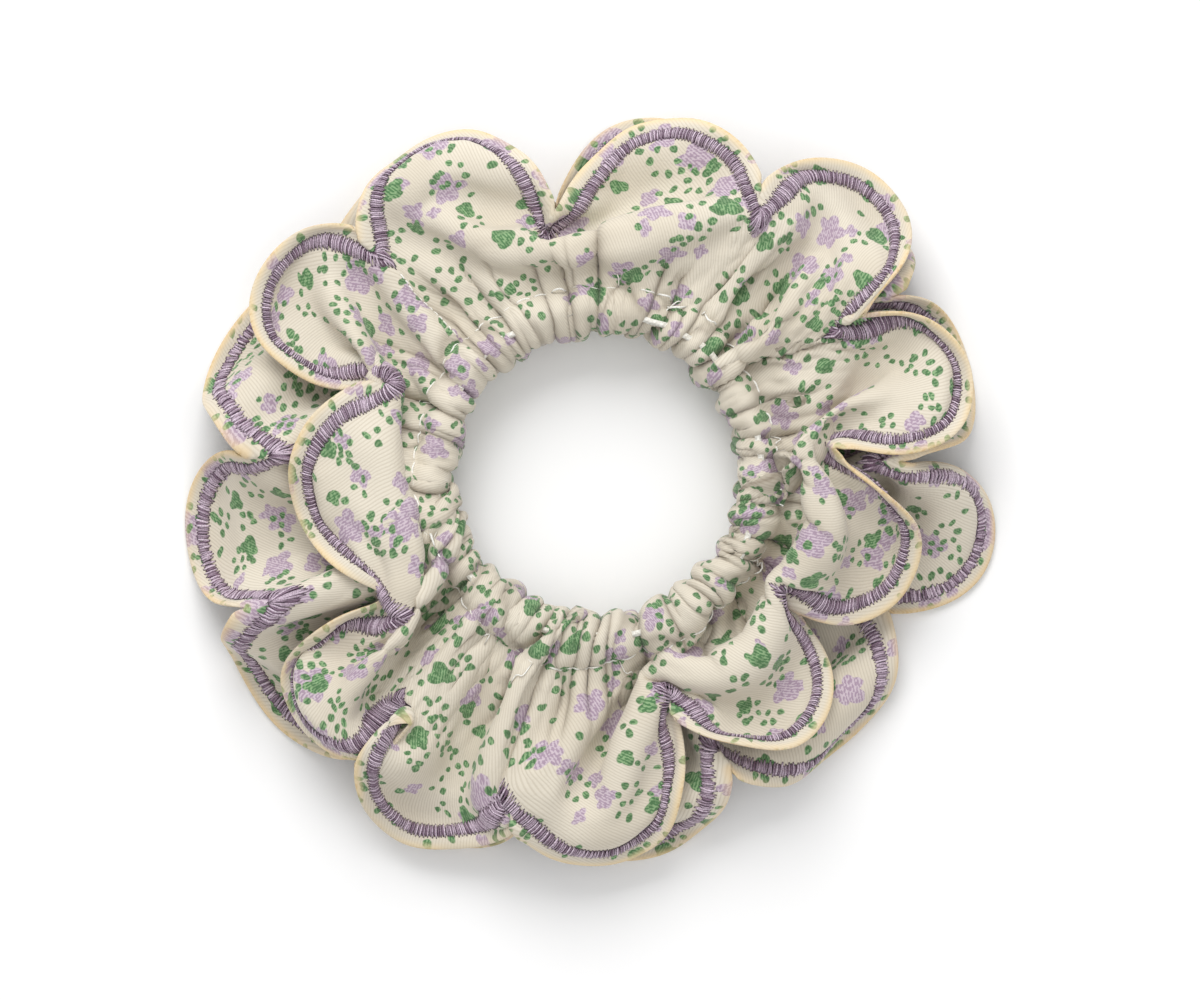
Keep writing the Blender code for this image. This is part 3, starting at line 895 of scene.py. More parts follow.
def print_place(u, w, lower):
    """The fan in which the print isn't stretched; each scallop runs straight on past its notch."""
    out = np.abs(w) - HALF_CASING
    angle = u / LENGTH * FAN_ANGLE
    lobe = (np.floor(np.clip(u, 0.001, LENGTH - 0.001) / PITCH) + 0.5) * PITCH / LENGTH * FAN_ANGLE
    radius = FAN + np.minimum(out, NOTCH)
    extra = np.maximum(out - NOTCH, 0)
    x = radius * np.cos(angle) + extra * np.cos(lobe)
    y = radius * np.sin(angle) + extra * np.sin(lobe)
    return np.stack([x + (LOWER_PRINT_SHIFT if lower else 0.0), y], -1)


def make_ply(name, fabric, inner, material):
    """One ply of the strip as a mesh with its print and weave maps."""
    points = fabric.inner if inner else fabric.outer
    rows, columns = points.shape[:2]
    row, column = np.meshgrid(np.arange(rows - 1), np.arange(columns), indexing="ij")
    row, column = row.ravel(), column.ravel()
    down, right = row + 1, column + 1
    wrap = right % columns
    corner_rows = np.stack([row, down, down, row], 1)
    corner_columns = np.stack([column, column, right, right], 1)
    quads = corner_rows * columns + np.stack([column, column, wrap, wrap], 1)
    u, w = flat_place(fabric.rows[corner_rows], corner_columns / FINE)
    lower = (fabric.rows[row] >= FOLD_ROW)[:, None]
    shown = np.where(lower[..., None], print_place(u, w, True), print_place(u, w, False))
    if inner:
        shown = shown + INNER_PRINT_SHIFT
        quads, shown, u, w = quads[:, ::-1], shown[:, ::-1], u[:, ::-1], w[:, ::-1]
    piece = make_object(name, points.reshape(-1, 3), quads, material)
    add_uv(piece, "print", shown.reshape(-1, 2) * MAP_UNIT)
    weave = np.stack([u * WEAVE_SHARE, w], -1)
    add_uv(piece, "weave", weave.reshape(-1, 2) * MAP_UNIT)
    add_point_value(piece, "edge", fabric.edge)
    add_point_value(piece, "slit", fabric.slit)
    return piece


def strand_mesh(name, paths, normals, widths, heights, tones, material):
    """Closed D-shaped strands of thread along paths (strands x stations x 3)."""
    count, stations = paths.shape[:2]
    widths, heights = (np.broadcast_to(v, (count, stations)) for v in (widths, heights))
    way = np.gradient(paths, axis=1)
    way /= np.linalg.norm(way, axis=-1)[..., None] + 1e-12
    side = np.cross(way, normals)
    side /= np.linalg.norm(side, axis=-1)[..., None] + 1e-12
    turn = np.linspace(math.pi, 0, STRAND_SIDES)
    points = (
        paths[:, :, None]
        + side[:, :, None] * (0.5 * widths[:, :, None] * np.cos(turn))[..., None]
        + normals[:, :, None] * (heights[:, :, None] * np.sin(turn))[..., None]
    )
    strand = np.arange(count)[:, None, None] * stations * STRAND_SIDES
    station = np.arange(stations - 1)[None, :, None] * STRAND_SIDES
    k = np.arange(STRAND_SIDES)[None, None, :]
    after = (k + 1) % STRAND_SIDES
    near, far = strand + station, strand + station + STRAND_SIDES
    quads = np.stack([near + k, near + after, far + after, far + k], -1).reshape(-1, 4)
    start = np.arange(count) * stations * STRAND_SIDES
    end = start + (stations - 1) * STRAND_SIDES
    order = np.arange(STRAND_SIDES)
    caps = [start[:, None] + order[::-1], end[:, None] + order]
    piece = make_object(name, points.reshape(-1, 3), np.concatenate([quads, *caps]), material)
    add_point_value(piece, "tone", np.repeat(tones, stations * STRAND_SIDES))
    across = np.linspace(0, 1, stations)
    add_point_value(piece, "across", np.tile(np.repeat(across, STRAND_SIDES), count))
    return piece


def join(name, pieces):
    """Joins mesh objects into the first one."""
    with bpy.context.temp_override(active_object=pieces[0], object=pieces[0],
                                   selected_objects=pieces, selected_editable_objects=pieces):
        bpy.ops.object.join()
    pieces[0].name = name
    pieces[0].data.name = name
    return pieces[0]


# ---------------- material helpers


class Net:
    """A Principled material whose colour, roughness and bump come from nodes."""

    def __init__(self, name, **constants):
        self.material = bpy.data.materials.new(name)
        self.material.use_nodes = True
        self.tree = self.material.node_tree
        self.shader = self.tree.nodes["Principled BSDF"]
        for socket, value in constants.items():
            self.shader.inputs[socket.replace("_", " ")].default_value = value

    def feed(self, socket, value):
        """Links a socket to another node's output, or sets its value; None leaves it alone."""
        if isinstance(value, bpy.types.NodeSocket):
            self.tree.links.new(value, socket)
        elif value is not None:
            socket.default_value = value

    def node(self, kind, inputs=(), **settings):
        """A new node, with its inputs fed and its settings made."""
        made = self.tree.nodes.new("ShaderNode" + kind)
        for key, value in settings.items():
            setattr(made, key, value)
        for key, value in dict(inputs).items():
            self.feed(made.inputs[key], value)
        return made

    def math(self, operation, a, b=None, c=None):
        made = self.node("Math", {0: a}, operation=operation)
        for index, value in ((1, b), (2, c)):
            self.feed(made.inputs[index], value)
        return made.outputs[0]

    def chain(self, operation, first, *others):
        for other in others:
            first = self.math(operation, first, other)
        return first

    def total(self, *values):
        return self.chain("ADD", *values)

    def product(self, *values):
        return self.chain("MULTIPLY", *values)

    def most(self, values):
        return self.chain("MAXIMUM", *values)

    def scaled(self, value, factor, added):
        return self.math("MULTIPLY_ADD", value, factor, added)

    def hypotenuse(self, x, y):
        return self.math("SQRT", self.total(self.product(x, x), self.product(y, y)))

    def step(self, value, low, high, start=0.0, end=1.0):
        """An eased step from start, where value is low, to end, where it is high."""
        made = self.node("MapRange", {"Value": value, "From Min": low, "From Max": high,
                                      "To Min": start, "To Max": end}, interpolation_type="SMOOTHSTEP")
        return made.outputs["Result"]

    def mix(self, share, a, b, blend="MIX"):
        made = self.node("Mix", data_type="RGBA", blend_type=blend)
        self.feed(made.inputs[0], share)
        self.feed(made.inputs[6], a)
        self.feed(made.inputs[7], b)
        return made.outputs[2]

    def noise(self, vector, scale, detail=2.0, dimensions="2D"):
        made = self.node("TexNoise", {"Vector": vector, "Scale": scale, "Detail": detail},
                         noise_dimensions=dimensions)
        return made.outputs["Fac"]

    def value_of(self, name):
        return self.node("Attribute", attribute_name=name).outputs["Fac"]

    def bump(self, height, distance, strength=1.0, after=None):
        made = self.node("Bump", {"Height": height, "Distance": distance * MM, "Strength": strength})
        self.feed(made.inputs["Normal"], after)
        return made.outputs["Normal"]

    def finish(self, colour, roughness, normal=None):
        self.feed(self.shader.inputs["Base Color"], colour)
        self.feed(self.shader.inputs["Roughness"], roughness)
        self.feed(self.shader.inputs["Normal"], normal)
        return self.material


def srgb(red, green, blue):
    """A linear colour from 0-255 display values."""
    out = []
    for value in (red, green, blue):
        value /= 255.0
        out.append(value / 12.92 if value <= 0.04045 else ((value + 0.055) / 1.055) ** 2.4)
    return (*out, 1.0)


# ---------------- printed cotton


# The print. Blobs: pitch of their cells, size, petals, depth of the lobes, share of the cells that
# hold one, seed. Rings of dots: pitch, radius, size of a dot, dots, share, seed. All in mm.
LILAC_BLOBS = ((8.2, 1.95, 5, 0.22, 0.52, 1.0), (5.8, 1.1, 4, 0.24, 0.36, 5.0))
GREEN_BLOBS = ((7.6, 1.28, 3, 0.18, 0.48, 21.0), (3.6, 0.55, 2, 0.12, 0.36, 30.0))
GREEN_RINGS = ((7.0, 1.65, 0.54, 6, 0.58, 9.0), (4.9, 1.00, 0.53, 3, 0.48, 14.0))
# Half the width of a motif's soft outline.
SOFT_BLOB = 0.10
SOFT_DOT = 0.09

CREAM = srgb(220, 212, 196)
CREAM_SHADE = srgb(211, 202, 185)
RIB_SHADE = srgb(178, 166, 146)
LILAC_PAINT = srgb(161, 138, 160)
LILAC_THIN = srgb(199, 183, 195)
GREEN_PAINT = srgb(62, 116, 66)
GREEN_THIN = srgb(132, 168, 120)
GREEN_DEEP = srgb(44, 92, 48)
SLIT_SHADE = srgb(112, 98, 82)
CREASE_TAN = srgb(206, 172, 116)
EDGE_TAN = srgb(230, 207, 165)
INNER_EDGE_TAN = srgb(226, 200, 157)
# Distance between the ribs of the twill, in the weave map's decimetres.
RIB_PITCH = 0.0038


class Motifs(Net):
    """Net with the print's motifs. The map's unit is a decimetre."""

    def cells(self, place, pitch, seed, scatter=0.75):
        """Cell pattern: place inside the cell in mm (radius, angle) and three random numbers."""
        scale = 100.0 / pitch
        shift = self.node("VectorMath", {0: place, 1: (seed * 0.37, seed * 0.71, 0)}, operation="ADD")
        cell = self.node("TexVoronoi", {"Vector": shift.outputs[0], "Scale": scale, "Randomness": scatter},
                         voronoi_dimensions="2D", feature="F1")
        away = self.node("VectorMath", {0: shift.outputs[0], 1: cell.outputs["Position"]},
                         operation="SUBTRACT")
        split = self.node("SeparateXYZ", {0: away.outputs[0]})
        x, y = split.outputs[0], split.outputs[1]
        radius = self.product(self.hypotenuse(x, y), 100.0)
        angle = self.math("ARCTAN2", y, x)
        random = self.node("SeparateColor", {0: cell.outputs["Color"]})
        return radius, angle, random.outputs[0], random.outputs[1], random.outputs[2]

    def blob(self, place, pitch, size, petals, lobe, share, seed):
        """Lobed blobs: flowers, hearts and ovals, in a share of the cells."""
        radius, angle, pick, spin, grow = self.cells(place, pitch, seed, 0.6)
        turned = self.scaled(angle, float(petals), self.product(spin, 40.0))
        second = self.scaled(angle, float(petals - 2), self.product(grow, 30.0))
        petal = self.math("ABSOLUTE", self.math("COSINE", self.product(turned, 0.5)))
        wave = self.scaled(petal, 2.0 * lobe, 1.0 - lobe)
        wave = self.scaled(self.math("COSINE", second), 0.6 * lobe, wave)
        limit = self.product(wave, self.scaled(grow, 0.45 * size, 0.75 * size))
        inside = self.step(self.math("SUBTRACT", limit, radius), -SOFT_BLOB, SOFT_BLOB)
        return self.product(inside, self.math("LESS_THAN", pick, share))

    def dot_ring(self, place, pitch, ring, dot, dots, share, seed):
        """Small dots set in a ring, in a share of the cells."""
        radius, angle, pick, spin, grow = self.cells(place, pitch, seed)
        sector = math.tau / dots
        turned = self.scaled(spin, 20.0, angle)
        local = self.math("SUBTRACT", self.math("FLOORED_MODULO", turned, sector), 0.5 * sector)
        reach = self.scaled(grow, 0.35 * ring, 0.85 * ring)
        x = self.math("SUBTRACT", self.product(radius, self.math("COSINE", local)), reach)
        y = self.product(radius, self.math("SINE", local), 1.15)
        inside = self.step(self.hypotenuse(x, y), dot + SOFT_DOT, dot - SOFT_DOT)
        return self.product(inside, self.math("LESS_THAN", pick, share))


def make_cotton(name, edge_tan):
    """Cream twill with green and lilac prints, tan along its turned edges."""
    net = Motifs(name, Sheen_Weight=0.25, Sheen_Roughness=0.5, Specular_IOR_Level=0.25)
    cloth = net.node("UVMap", uv_map="print").outputs[0]
    weave = net.node("UVMap", uv_map="weave").outputs[0]

    # Hand-drawn outlines: the place is shaken a little before the motifs are drawn.
    shake = net.node("TexNoise", {"Vector": cloth, "Scale": 48.0, "Detail": 1.5}, noise_dimensions="2D")
    centred = net.node("VectorMath", {0: shake.outputs["Color"], 1: (0.5, 0.5, 0.5)}, operation="SUBTRACT")
    moved = net.node("VectorMath", {0: centred.outputs[0], 1: (0.009, 0.009, 0.0), 2: cloth},
                     operation="MULTIPLY_ADD")
    place = moved.outputs[0]

    lilac = net.most(net.blob(place, *motif) for motif in LILAC_BLOBS)
    leaves = net.most(net.blob(place, *motif) for motif in GREEN_BLOBS)
    green = net.most([leaves, *(net.dot_ring(place, *motif) for motif in GREEN_RINGS)])
    lilac = net.product(lilac, net.math("SUBTRACT", 1.0, net.product(green, 0.85)))

    # Twill: fine ribs that cross the strip at a slant, and the threads that cross them.
    split = net.node("SeparateXYZ", {0: weave})
    along, across = split.outputs[0], split.outputs[1]
    wobble = net.product(net.noise(weave, 9.0, 1.0), 0.012)
    slanted = net.total(net.product(along, 0.90), net.product(across, 0.44), wobble)
    rib = net.math("SINE", net.product(slanted, math.tau / RIB_PITCH))
    stretched = net.node("CombineXYZ", {0: net.product(slanted, 263.0), 1: net.product(across, 260.0)})
    fleck = net.noise(stretched.outputs[0], 1.0, 1.0)
    thread = net.total(net.product(rib, 0.22), net.product(fleck, 1.5))

    tone = net.noise(cloth, 6.0, 3.0)
    cream = net.mix(net.step(tone, 0.35, 0.7), CREAM, CREAM_SHADE)
    cream = net.mix(net.step(rib, 0.2, -1.0, 0.0, 0.36), cream, RIB_SHADE)
    gap = net.step(thread, 0.86, 0.62)
    paint_lilac = net.mix(gap, LILAC_PAINT, LILAC_THIN)
    paint_green = net.mix(gap, GREEN_PAINT, GREEN_THIN)
    deep = net.step(net.noise(cloth, 70.0, 1.0), 0.40, 0.62, 0.0, 0.45)
    paint_green = net.mix(deep, paint_green, GREEN_DEEP)
    colour = net.mix(net.product(lilac, 0.92), cream, paint_lilac)
    colour = net.mix(net.product(green, 0.94), colour, paint_green)
    # Little light reaches the bottom of the tucks.
    colour = net.mix(net.product(net.value_of("slit"), 0.75), colour, SLIT_SHADE, "MULTIPLY")

    # The turned edge has yellowed, in patches.
    edge = net.value_of("edge")
    patches = net.step(net.noise(cloth, 9.0, 2.0), 0.32, 0.62)
    worn = net.product(net.step(edge, 1.3, 0.1), net.scaled(patches, 0.62, 0.25))
    colour = net.mix(worn, colour, edge_tan)
    crease = net.product(net.step(edge, 0.5, 0.0), patches, net.step(fleck, 0.4, 0.7), 0.6)
    colour = net.mix(crease, colour, CREASE_TAN)

    fuzz = net.noise(weave, 500.0, 2.0)
    normal = net.bump(thread, 0.05, 0.55)
    normal = net.bump(fuzz, 0.04, 0.35, normal)
    roughness = net.scaled(net.most([lilac, green]), -0.06, 0.88)
    return net.finish(colour, roughness, normal)


# Thread: colour of the painted shade where it dives in, of the darkest strand and of the lightest strand,
# which partly stands for painted highlights, and roughness.
LILAC_THREAD = (srgb(60, 40, 53), srgb(126, 99, 121), srgb(222, 203, 219), 0.26)
WHITE_THREAD = (srgb(196, 190, 176), srgb(236, 233, 224), srgb(250, 249, 244), 0.5)


def make_thread(name, painted_thread_shade, middle, light, roughness):
    """Sewing or embroidery thread: tone varies from strand to strand, partly as painted highlight, with
    painted shade where it dives in and in the fibre flecks.
    """
    net = Net(name, Sheen_Weight=0.15, Sheen_Roughness=0.4, Specular_IOR_Level=0.6)
    tone = net.value_of("tone")
    across = net.value_of("across")
    crown = net.product(across, net.math("SUBTRACT", 1.0, across), 4.0)
    # Strand tone from the darkest to the lightest strand, partly painted highlight.
    colour = net.mix(net.step(tone, 0.15, 0.85), middle, light)
    # Painted shade at both ends of each stitch, where the thread dives into the cloth.
    colour = net.mix(net.step(crown, 0.60, 0.05), colour, painted_thread_shade)
    place = net.node("TexCoord").outputs["Object"]
    fibre = net.noise(place, 5200.0, 2.0, "3D")
    # Painted shade in the fibre flecks, where the fibre bump is low.
    colour = net.mix(net.step(fibre, 0.60, 0.30, 0.0, 0.55), colour, painted_thread_shade)
    return net.finish(colour, net.scaled(fibre, 0.25, roughness), net.bump(fibre, 0.05, 0.6))


ELASTIC_SHADE = srgb(206, 202, 192)
ELASTIC_WHITE = srgb(240, 238, 230)
ELASTIC_YELLOWED = srgb(222, 212, 186)


def make_elastic_material():
    """Off-white knitted elastic with ribs along it."""
    net = Net("elastic", Sheen_Weight=0.2, Sheen_Roughness=0.5, Specular_IOR_Level=0.3)
    place = net.node("TexCoord").outputs["Object"]
    knit = net.noise(place, 2600.0, 2.0, "3D")
    tone = net.noise(place, 120.0, 2.0, "3D")
    colour = net.mix(net.step(knit, 0.35, 0.65), ELASTIC_SHADE, ELASTIC_WHITE)
    colour = net.mix(net.step(tone, 0.4, 0.7, 0.0, 0.3), colour, ELASTIC_YELLOWED)
    return net.finish(colour, net.scaled(knit, 0.2, 0.65), net.bump(knit, 0.12, 0.7))


# ---------------- stitches

# Satin strands on the shown and on the other face, and the padding below: crown and width.
SHOWN_STRAND = (0.56, 0.60), 0.29
OTHER_STRAND = (0.36, 0.56), 0.38
PADDING_STRAND = 0.18, 1.7
STRAND_HEIGHT = 0.15
# How far the longer and the shorter stitches run past the band.
LONGER_END = 0.13
SHORTER_END = -0.05
# Stitches start at least this far from the line between two scallops.
LINE_GAP = 0.03
# Steps along a scallop's band, from which the places of its stitches are picked.
BAND_STEPS = 800
# Distance between the casing stitches, and the share of them that lie tight.
SEAM_STITCH = 4.6
TIGHT_SHARE = 0.90


def band_stitches(per_lobe):
    """Flat ends of the stitches across one scallop's band; they fan out to the point of the V."""
    inset = SATIN_INSET + 0.5 * SATIN_WIDTH
    centre = inset_scallop(inset, SATIN_MITRE, np.linspace(0, 1, BAND_STEPS + 1))
    way = np.gradient(centre, axis=0)
    way /= np.linalg.norm(way, axis=1)[:, None]
    total = np.linalg.norm(np.diff(centre, axis=0), axis=1).sum()
    shares = (np.arange(per_lobe) + 0.5) / per_lobe
    picked = np.round(shares * BAND_STEPS).astype(int)
    middle, way = centre[picked], way[picked]
    fan = 1 - smooth(np.minimum(shares, 1 - shares) * total, 0.0, 3.0)[:, None]
    inward = np.stack([way[:, 1], -way[:, 0]], 1) * (1 - fan) + np.array([0.0, -1.0]) * fan
    inward /= np.linalg.norm(inward, axis=1)[:, None]
    half = 0.5 * SATIN_WIDTH * (1 - fan) + POINT_REACH * fan
    start = middle - inward * half
    past = np.clip(start[:, :1], LINE_GAP, PITCH - LINE_GAP) - start[:, :1]
    start += inward * past / np.where(np.abs(inward[:, :1]) < 0.05, 1, inward[:, :1])
    return start, middle + inward * half


def satin_strands(name, fabric, lower, inner, rng, material, underlay=False):
    """Satin stitch along the scallops of one frill, on one of its faces."""
    per_lobe = round(BAND_LENGTH / (UNDERLAY_SPACING if underlay else STITCH_SPACING))
    start, end = band_stitches(per_lobe)
    offset = np.repeat(np.arange(LOBES) * PITCH, per_lobe)[:, None] * [1.0, 0.0]
    start = np.tile(start, (LOBES, 1)) + offset
    end = np.tile(end, (LOBES, 1)) + offset
    count = len(start)
    way = end - start
    way /= np.linalg.norm(way, axis=1)[:, None] + 1e-9
    rough = 2.2 if inner else 1.0
    if underlay:
        rough = -1.0
    # Every second stitch is a little longer, as in the zigzag of satin stitch, and lighter, which is a
    # painted highlight.
    longer = np.arange(count) % 2
    jag = np.where(longer, LONGER_END, SHORTER_END)[:, None] * (0.0 if underlay else 1.0)
    start = start - way * (rng.uniform(-0.06, 0.10, (count, 1)) * rough + jag)
    end = end + way * (rng.uniform(-0.06, 0.14, (count, 1)) * rough + jag)
    side = np.stack([-way[:, 1], way[:, 0]], 1)
    start += side * rng.normal(0, 0.04, (count, 1)) * rough
    end += side * rng.normal(0, 0.05, (count, 1)) * rough
    t = np.linspace(0, 1, STITCH_STATIONS)
    flat = start[:, None] * (1 - t)[None, :, None] + end[:, None] * t[None, :, None]
    row, column = grid_place(flat[..., 0], flat[..., 1], lower)
    place, normal = fabric.at(row, column, inner)
    arch = np.sin(np.pi * np.clip(t, 0.02, 0.98)) ** 0.7
    if underlay:
        crown, width = PADDING_STRAND
    else:
        crowns, width = OTHER_STRAND if inner else SHOWN_STRAND
        crown = rng.uniform(*crowns, (count, 1))
    lift = crown * arch - 0.16
    widths = width * (0.6 + 0.4 * arch) * rng.uniform(0.88, 1.12, (count, 1))
    heights = STRAND_HEIGHT * (0.6 + 0.4 * arch)
    # Strand tones: random from strand to strand, partly as painted highlight, and lifted on the longer
    # stitches as painted highlight; the padding takes none.
    tones = (rng.uniform(0.1, 0.65, count) + 0.25 * longer) * (0.0 if underlay else 1.0)
    return strand_mesh(name, place + normal * lift[..., None], normal, widths, heights, tones, material)


def make_satin(name, fabric, lower, material, seed):
    """Both faces of one frill's embroidery."""
    rng = np.random.default_rng(seed)
    faces = []
    for inner in (False, True):
        for underlay in (False, True):
            part = f"{name}_{inner:d}{underlay:d}"
            faces.append(satin_strands(part, fabric, lower, inner, rng, material, underlay))
    return join(name, faces)


def seam_strands(name, fabric, lower, rng, material):
    """Casing stitches: short runs of thread sunk in the seam, with a few slack loops and ends."""
    count = round(LENGTH / SEAM_STITCH)
    first = np.arange(count) * LENGTH / count
    t = np.linspace(0, 1, 9)
    u = first[:, None] + SEAM_STITCH * (0.06 + 0.88 * t[None])
    row = frill_row(0.0, lower) + 0 * u + 0.05 * rng.normal(size=(count, 1))
    slack = rng.uniform(0, 1, count)
    loose = slack > TIGHT_SHARE
    loop = np.where(loose, rng.uniform(0.5, 1.0, count), rng.uniform(0.02, 0.10, count))
    swing = np.where(loose, rng.uniform(-1.2, 1.2, count), 0.0)
    arch = np.sin(np.pi * t)
    row = row + (swing[:, None] * arch) * (1 if lower else -1)
    place, normal = fabric.at(row, u * COLUMNS / LENGTH, False)
    sunk = np.where((slack > 0.45) | (loop > 0.5), 0.0, 0.22)[:, None]
    lift = 0.02 - sunk + loop[:, None] * arch - 0.20 * (1 - arch)
    path = place + normal * lift[..., None]
    return strand_mesh(name, path, normal, 0.30, 0.22, slack, material)


def loose_ends(name, fabric, rng, material):
    """Thread ends that stick out of the casing seam, lying on the cloth."""
    count = 12
    t = np.linspace(0, 1, 9)
    u = rng.uniform(0, LENGTH, (count, 1)) + rng.uniform(-3.5, 3.5, (count, 1)) * t[None]
    reach = rng.uniform(-1.4, 3.0, (count, 1))
    row = UPPER_SEAM - reach * t[None] - 0.5 * np.sin(math.pi * t[None] * rng.uniform(1, 2.4, (count, 1)))
    place, normal = fabric.at(row, u * COLUMNS / LENGTH, False)
    lift = 0.10 + rng.uniform(0.1, 0.9, (count, 1)) * np.sin(math.pi * t[None]) * t[None]
    path = place + normal * lift[..., None]
    return strand_mesh(name, path, normal, 0.20, 0.14, rng.uniform(0, 1, count), material)


def closing_strands(name, fabric, lower, rng, material):
    """The seam that closes the strip to a ring, across one frill at its first column."""
    stitches = 12
    first = np.linspace(1.2, NOTCH - 9.0, stitches)
    t = np.linspace(0, 1, 6)
    out = first[:, None] + 0.75 * t[None]
    row = frill_row(out / NOTCH, lower)
    column = 0.12 * rng.normal(size=(stitches, 1)) + 0 * out
    place, normal = fabric.at(row, column, False)
    path = place + normal * (0.04 - 0.12 * (1 - np.sin(np.pi * t)))[None, :, None]
    return strand_mesh(name, path, normal, 0.26, 0.156, rng.uniform(0, 1, stitches), material)


# ---------------- elastic


def make_elastic(material):
    """The knitted elastic band that stands upright inside the casing."""
    stations, ribs = 420, 6
    face = np.linspace(-1, 1, 4 * ribs + 1)
    profile = [(0.5 * ELASTIC_THICKNESS * (0.82 + 0.18 * math.cos(ribs * math.pi * y)), y) for y in face]
    profile += [(-x, -y) for x, y in profile]
    side = np.array([p[0] for p in profile])
    height = np.array([p[1] for p in profile]) * 0.5 * ELASTIC_WIDTH
    angle = np.arange(stations) / stations * math.tau
    sway = 0.22 * np.sin(9 * angle) + 0.12 * np.sin(23 * angle + 1.0)
    radius = ELASTIC_RADIUS + sway[:, None] + side[None]
    points = np.stack([
        RING[0] + radius * np.cos(angle)[:, None],
        RING[1] + radius * np.sin(angle)[:, None],
        RING[2] + height[None] + 0 * radius,
    ], -1)
    around = len(profile)
    i, j = np.meshgrid(np.arange(stations), np.arange(around), indexing="ij")
    ahead, turn = (i + 1) % stations, (j + 1) % around
    quads = np.stack([i * around + j, ahead * around + j, ahead * around + turn, i * around + turn], -1)
    return make_object("elastic", points.reshape(-1, 3), quads.reshape(-1, 4), material)


def make_elastic_join(material):
    """Zigzag stitches through the overlapped ends of the elastic."""
    low, high = node_box("elastic_join_stitches")
    centre = 0.5 * (low + high)
    away = math.atan2(centre[1] - RING[1], centre[0] - RING[0])
    count, pitch = 14, 0.011
    t = np.linspace(0, 1, 6)
    steps = np.arange(count)
    start = away + (steps - 0.5 * count) * pitch
    angle = start[:, None] + pitch * t[None]
    swing = np.where(steps % 2 == 0, 1, -1)[:, None] * (1 - 2 * t[None]) * 0.38 * ELASTIC_WIDTH
    radius = ELASTIC_RADIUS + 0.5 * ELASTIC_THICKNESS + 0.25
    normal = np.stack([np.cos(angle), np.sin(angle), 0 * angle], -1)
    path = normal * radius + [RING[0], RING[1], 0]
    path[..., 2] = RING[2] + swing
    tones = np.linspace(0, 1, count)
    return strand_mesh("elastic_join_stitches_fine", path, normal, 0.30, 0.21, tones, material)


# ---------------- the object


def settle_strip():
    return Strip().settle(STEPS)


def attach(piece, nodes):
    """The piece stands for CAD nodes, which are hidden, and its transform is baked into its mesh."""
    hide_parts(*nodes)
    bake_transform(piece)
    return piece


def both(node):
    """The left and the right half of a CAD node."""
    return node + "_left", node + "_right"


def build_scrunchie():
    """The nine pieces."""
    fabric = Fabric(settle_strip())
    cotton = make_cotton("printed_cotton", EDGE_TAN)
    inner_cotton = make_cotton("printed_cotton_inner", INNER_EDGE_TAN)
    lilac = make_thread("embroidery_thread", *LILAC_THREAD)
    white = make_thread("white_thread", *WHITE_THREAD)
    rng = np.random.default_rng(SEAM_SEED)

    outer = make_ply("outer_fabric", fabric, False, cotton)
    inner = make_ply("inner_fabric", fabric, True, inner_cotton)
    attach(outer, both("outer_fabric"))
    attach(inner, both("inner_fabric"))

    upper_satin = make_satin("upper_satin", fabric, False, lilac, UPPER_SATIN_SEED)
    lower_satin = make_satin("lower_satin", fabric, True, lilac, LOWER_SATIN_SEED)
    attach(upper_satin, both("upper_satin"))
    attach(lower_satin, both("lower_satin"))

    needle = seam_strands("upper_casing_seam_runs", fabric, False, rng, white)
    ends = loose_ends("upper_casing_seam_ends", fabric, rng, white)
    attach(join("upper_casing_seam", [needle, ends]), both("upper_casing_seam"))
    bobbin = seam_strands("lower_casing_seam", fabric, True, rng, white)
    attach(bobbin, both("lower_casing_seam"))

    closing = [closing_strands("closing_seam_" + side, fabric, side == "lower", rng, white)
               for side in ("upper", "lower")]
    attach(join("closing_seam", closing), ("closing_seam_upper", "closing_seam_lower"))

    attach(make_elastic(make_elastic_material()), both("elastic"))
    attach(make_elastic_join(white), ("elastic_join_stitches",))


# ---------------- stage


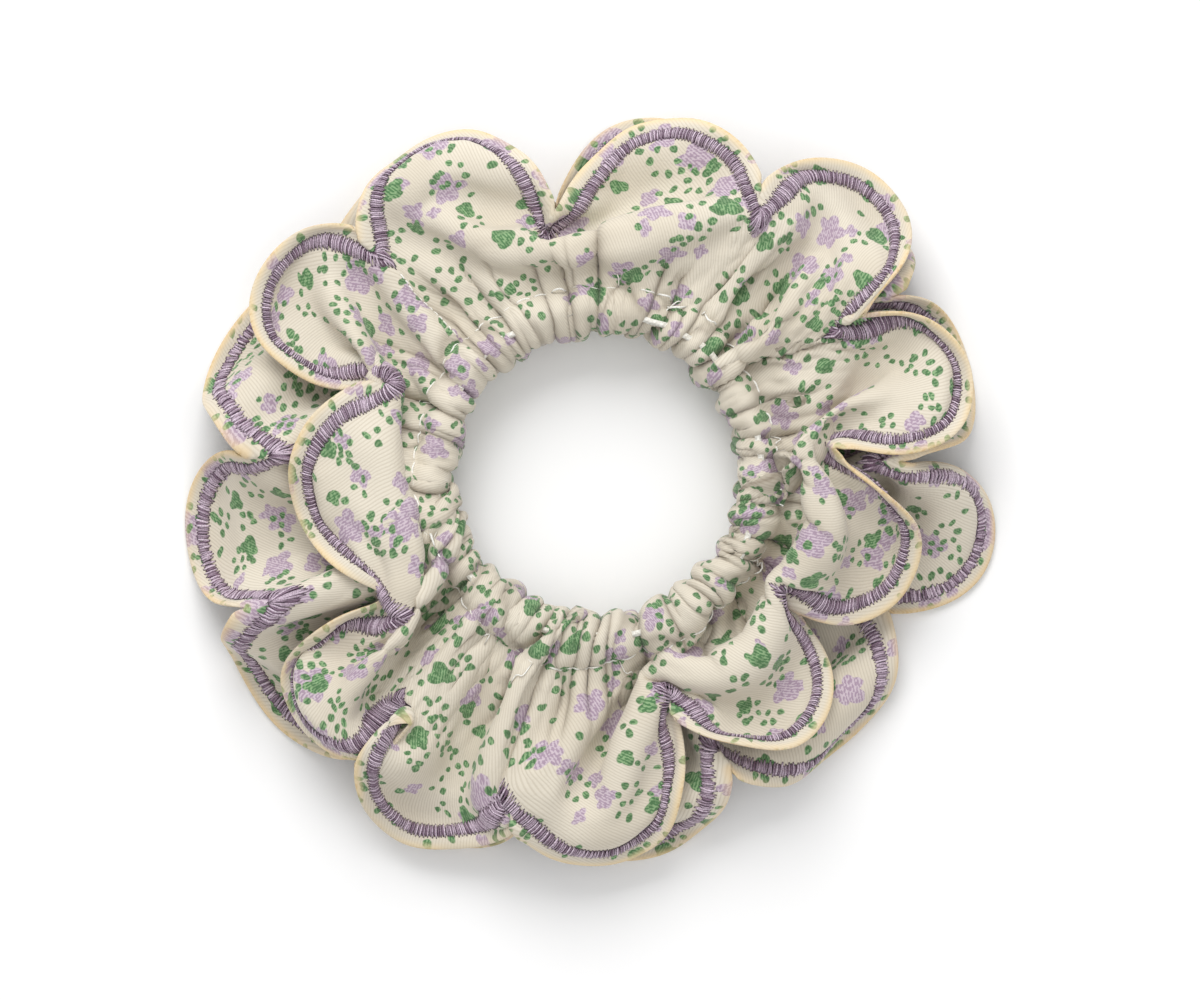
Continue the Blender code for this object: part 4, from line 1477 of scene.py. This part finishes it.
# In metres. Each light: name, watts, size and place; it faces the origin.
FLOOR_REACH = 3.0
FLOOR_WHITE = srgb(252, 252, 252)
FLOOR_SHADE = srgb(249, 249, 249)
WORLD_STRENGTH = 0.68
LIGHTS = (("key", 4.0, 0.50, (-0.12, 0.55, 0.50)), ("fill", 1.0, 0.90, (0.35, -0.35, 0.75)))
# What the picture shows: its width and centre, at this height above the floor.
FRAME_WIDTH = 0.1758
FRAME_CENTRE = (0.00125, -0.0017)
FRAME_HEIGHT = 0.010


def make_stage():
    """Floor, soft light from above the picture's top edge, and a camera looking straight down."""
    scene = bpy.context.scene
    floor_mesh = bpy.data.meshes.new("floor")
    corners = [(x * FLOOR_REACH, y * FLOOR_REACH, 0) for x, y in ((-1, -1), (1, -1), (1, 1), (-1, 1))]
    floor_mesh.from_pydata(corners, [], [(0, 1, 2, 3)])
    floor = bpy.data.objects.new("floor", floor_mesh)
    scene.collection.objects.link(floor)
    net = Net("floor", Specular_IOR_Level=0.2)
    place = net.node("TexCoord").outputs["Object"]
    shade = net.noise(place, 3.0, 2.0, "3D")
    floor_mesh.materials.append(net.finish(net.mix(shade, FLOOR_WHITE, FLOOR_SHADE), 0.9))

    world = bpy.data.worlds.new("studio")
    scene.world = world
    world.use_nodes = True
    background = world.node_tree.nodes["Background"]
    background.inputs["Color"].default_value = (1, 1, 1, 1)
    background.inputs["Strength"].default_value = WORLD_STRENGTH

    for name, energy, size, place in LIGHTS:
        light = bpy.data.lights.new(name, "AREA")
        light.energy = energy
        light.size = size
        lamp = bpy.data.objects.new(name, light)
        lamp.location = place
        lamp.rotation_euler = (-Vector(place)).to_track_quat("-Z", "Y").to_euler()
        scene.collection.objects.link(lamp)

    scene.view_settings.view_transform = "Standard"
    camera = bpy.data.objects.new("camera", bpy.data.cameras.new("camera"))
    camera.data.sensor_width = 36.0
    camera.data.lens = 200.0
    distance = FRAME_WIDTH * camera.data.lens / camera.data.sensor_width
    camera.location = (*FRAME_CENTRE, FRAME_HEIGHT + distance)
    scene.collection.objects.link(camera)
    scene.camera = camera


build_scrunchie()
make_stage()
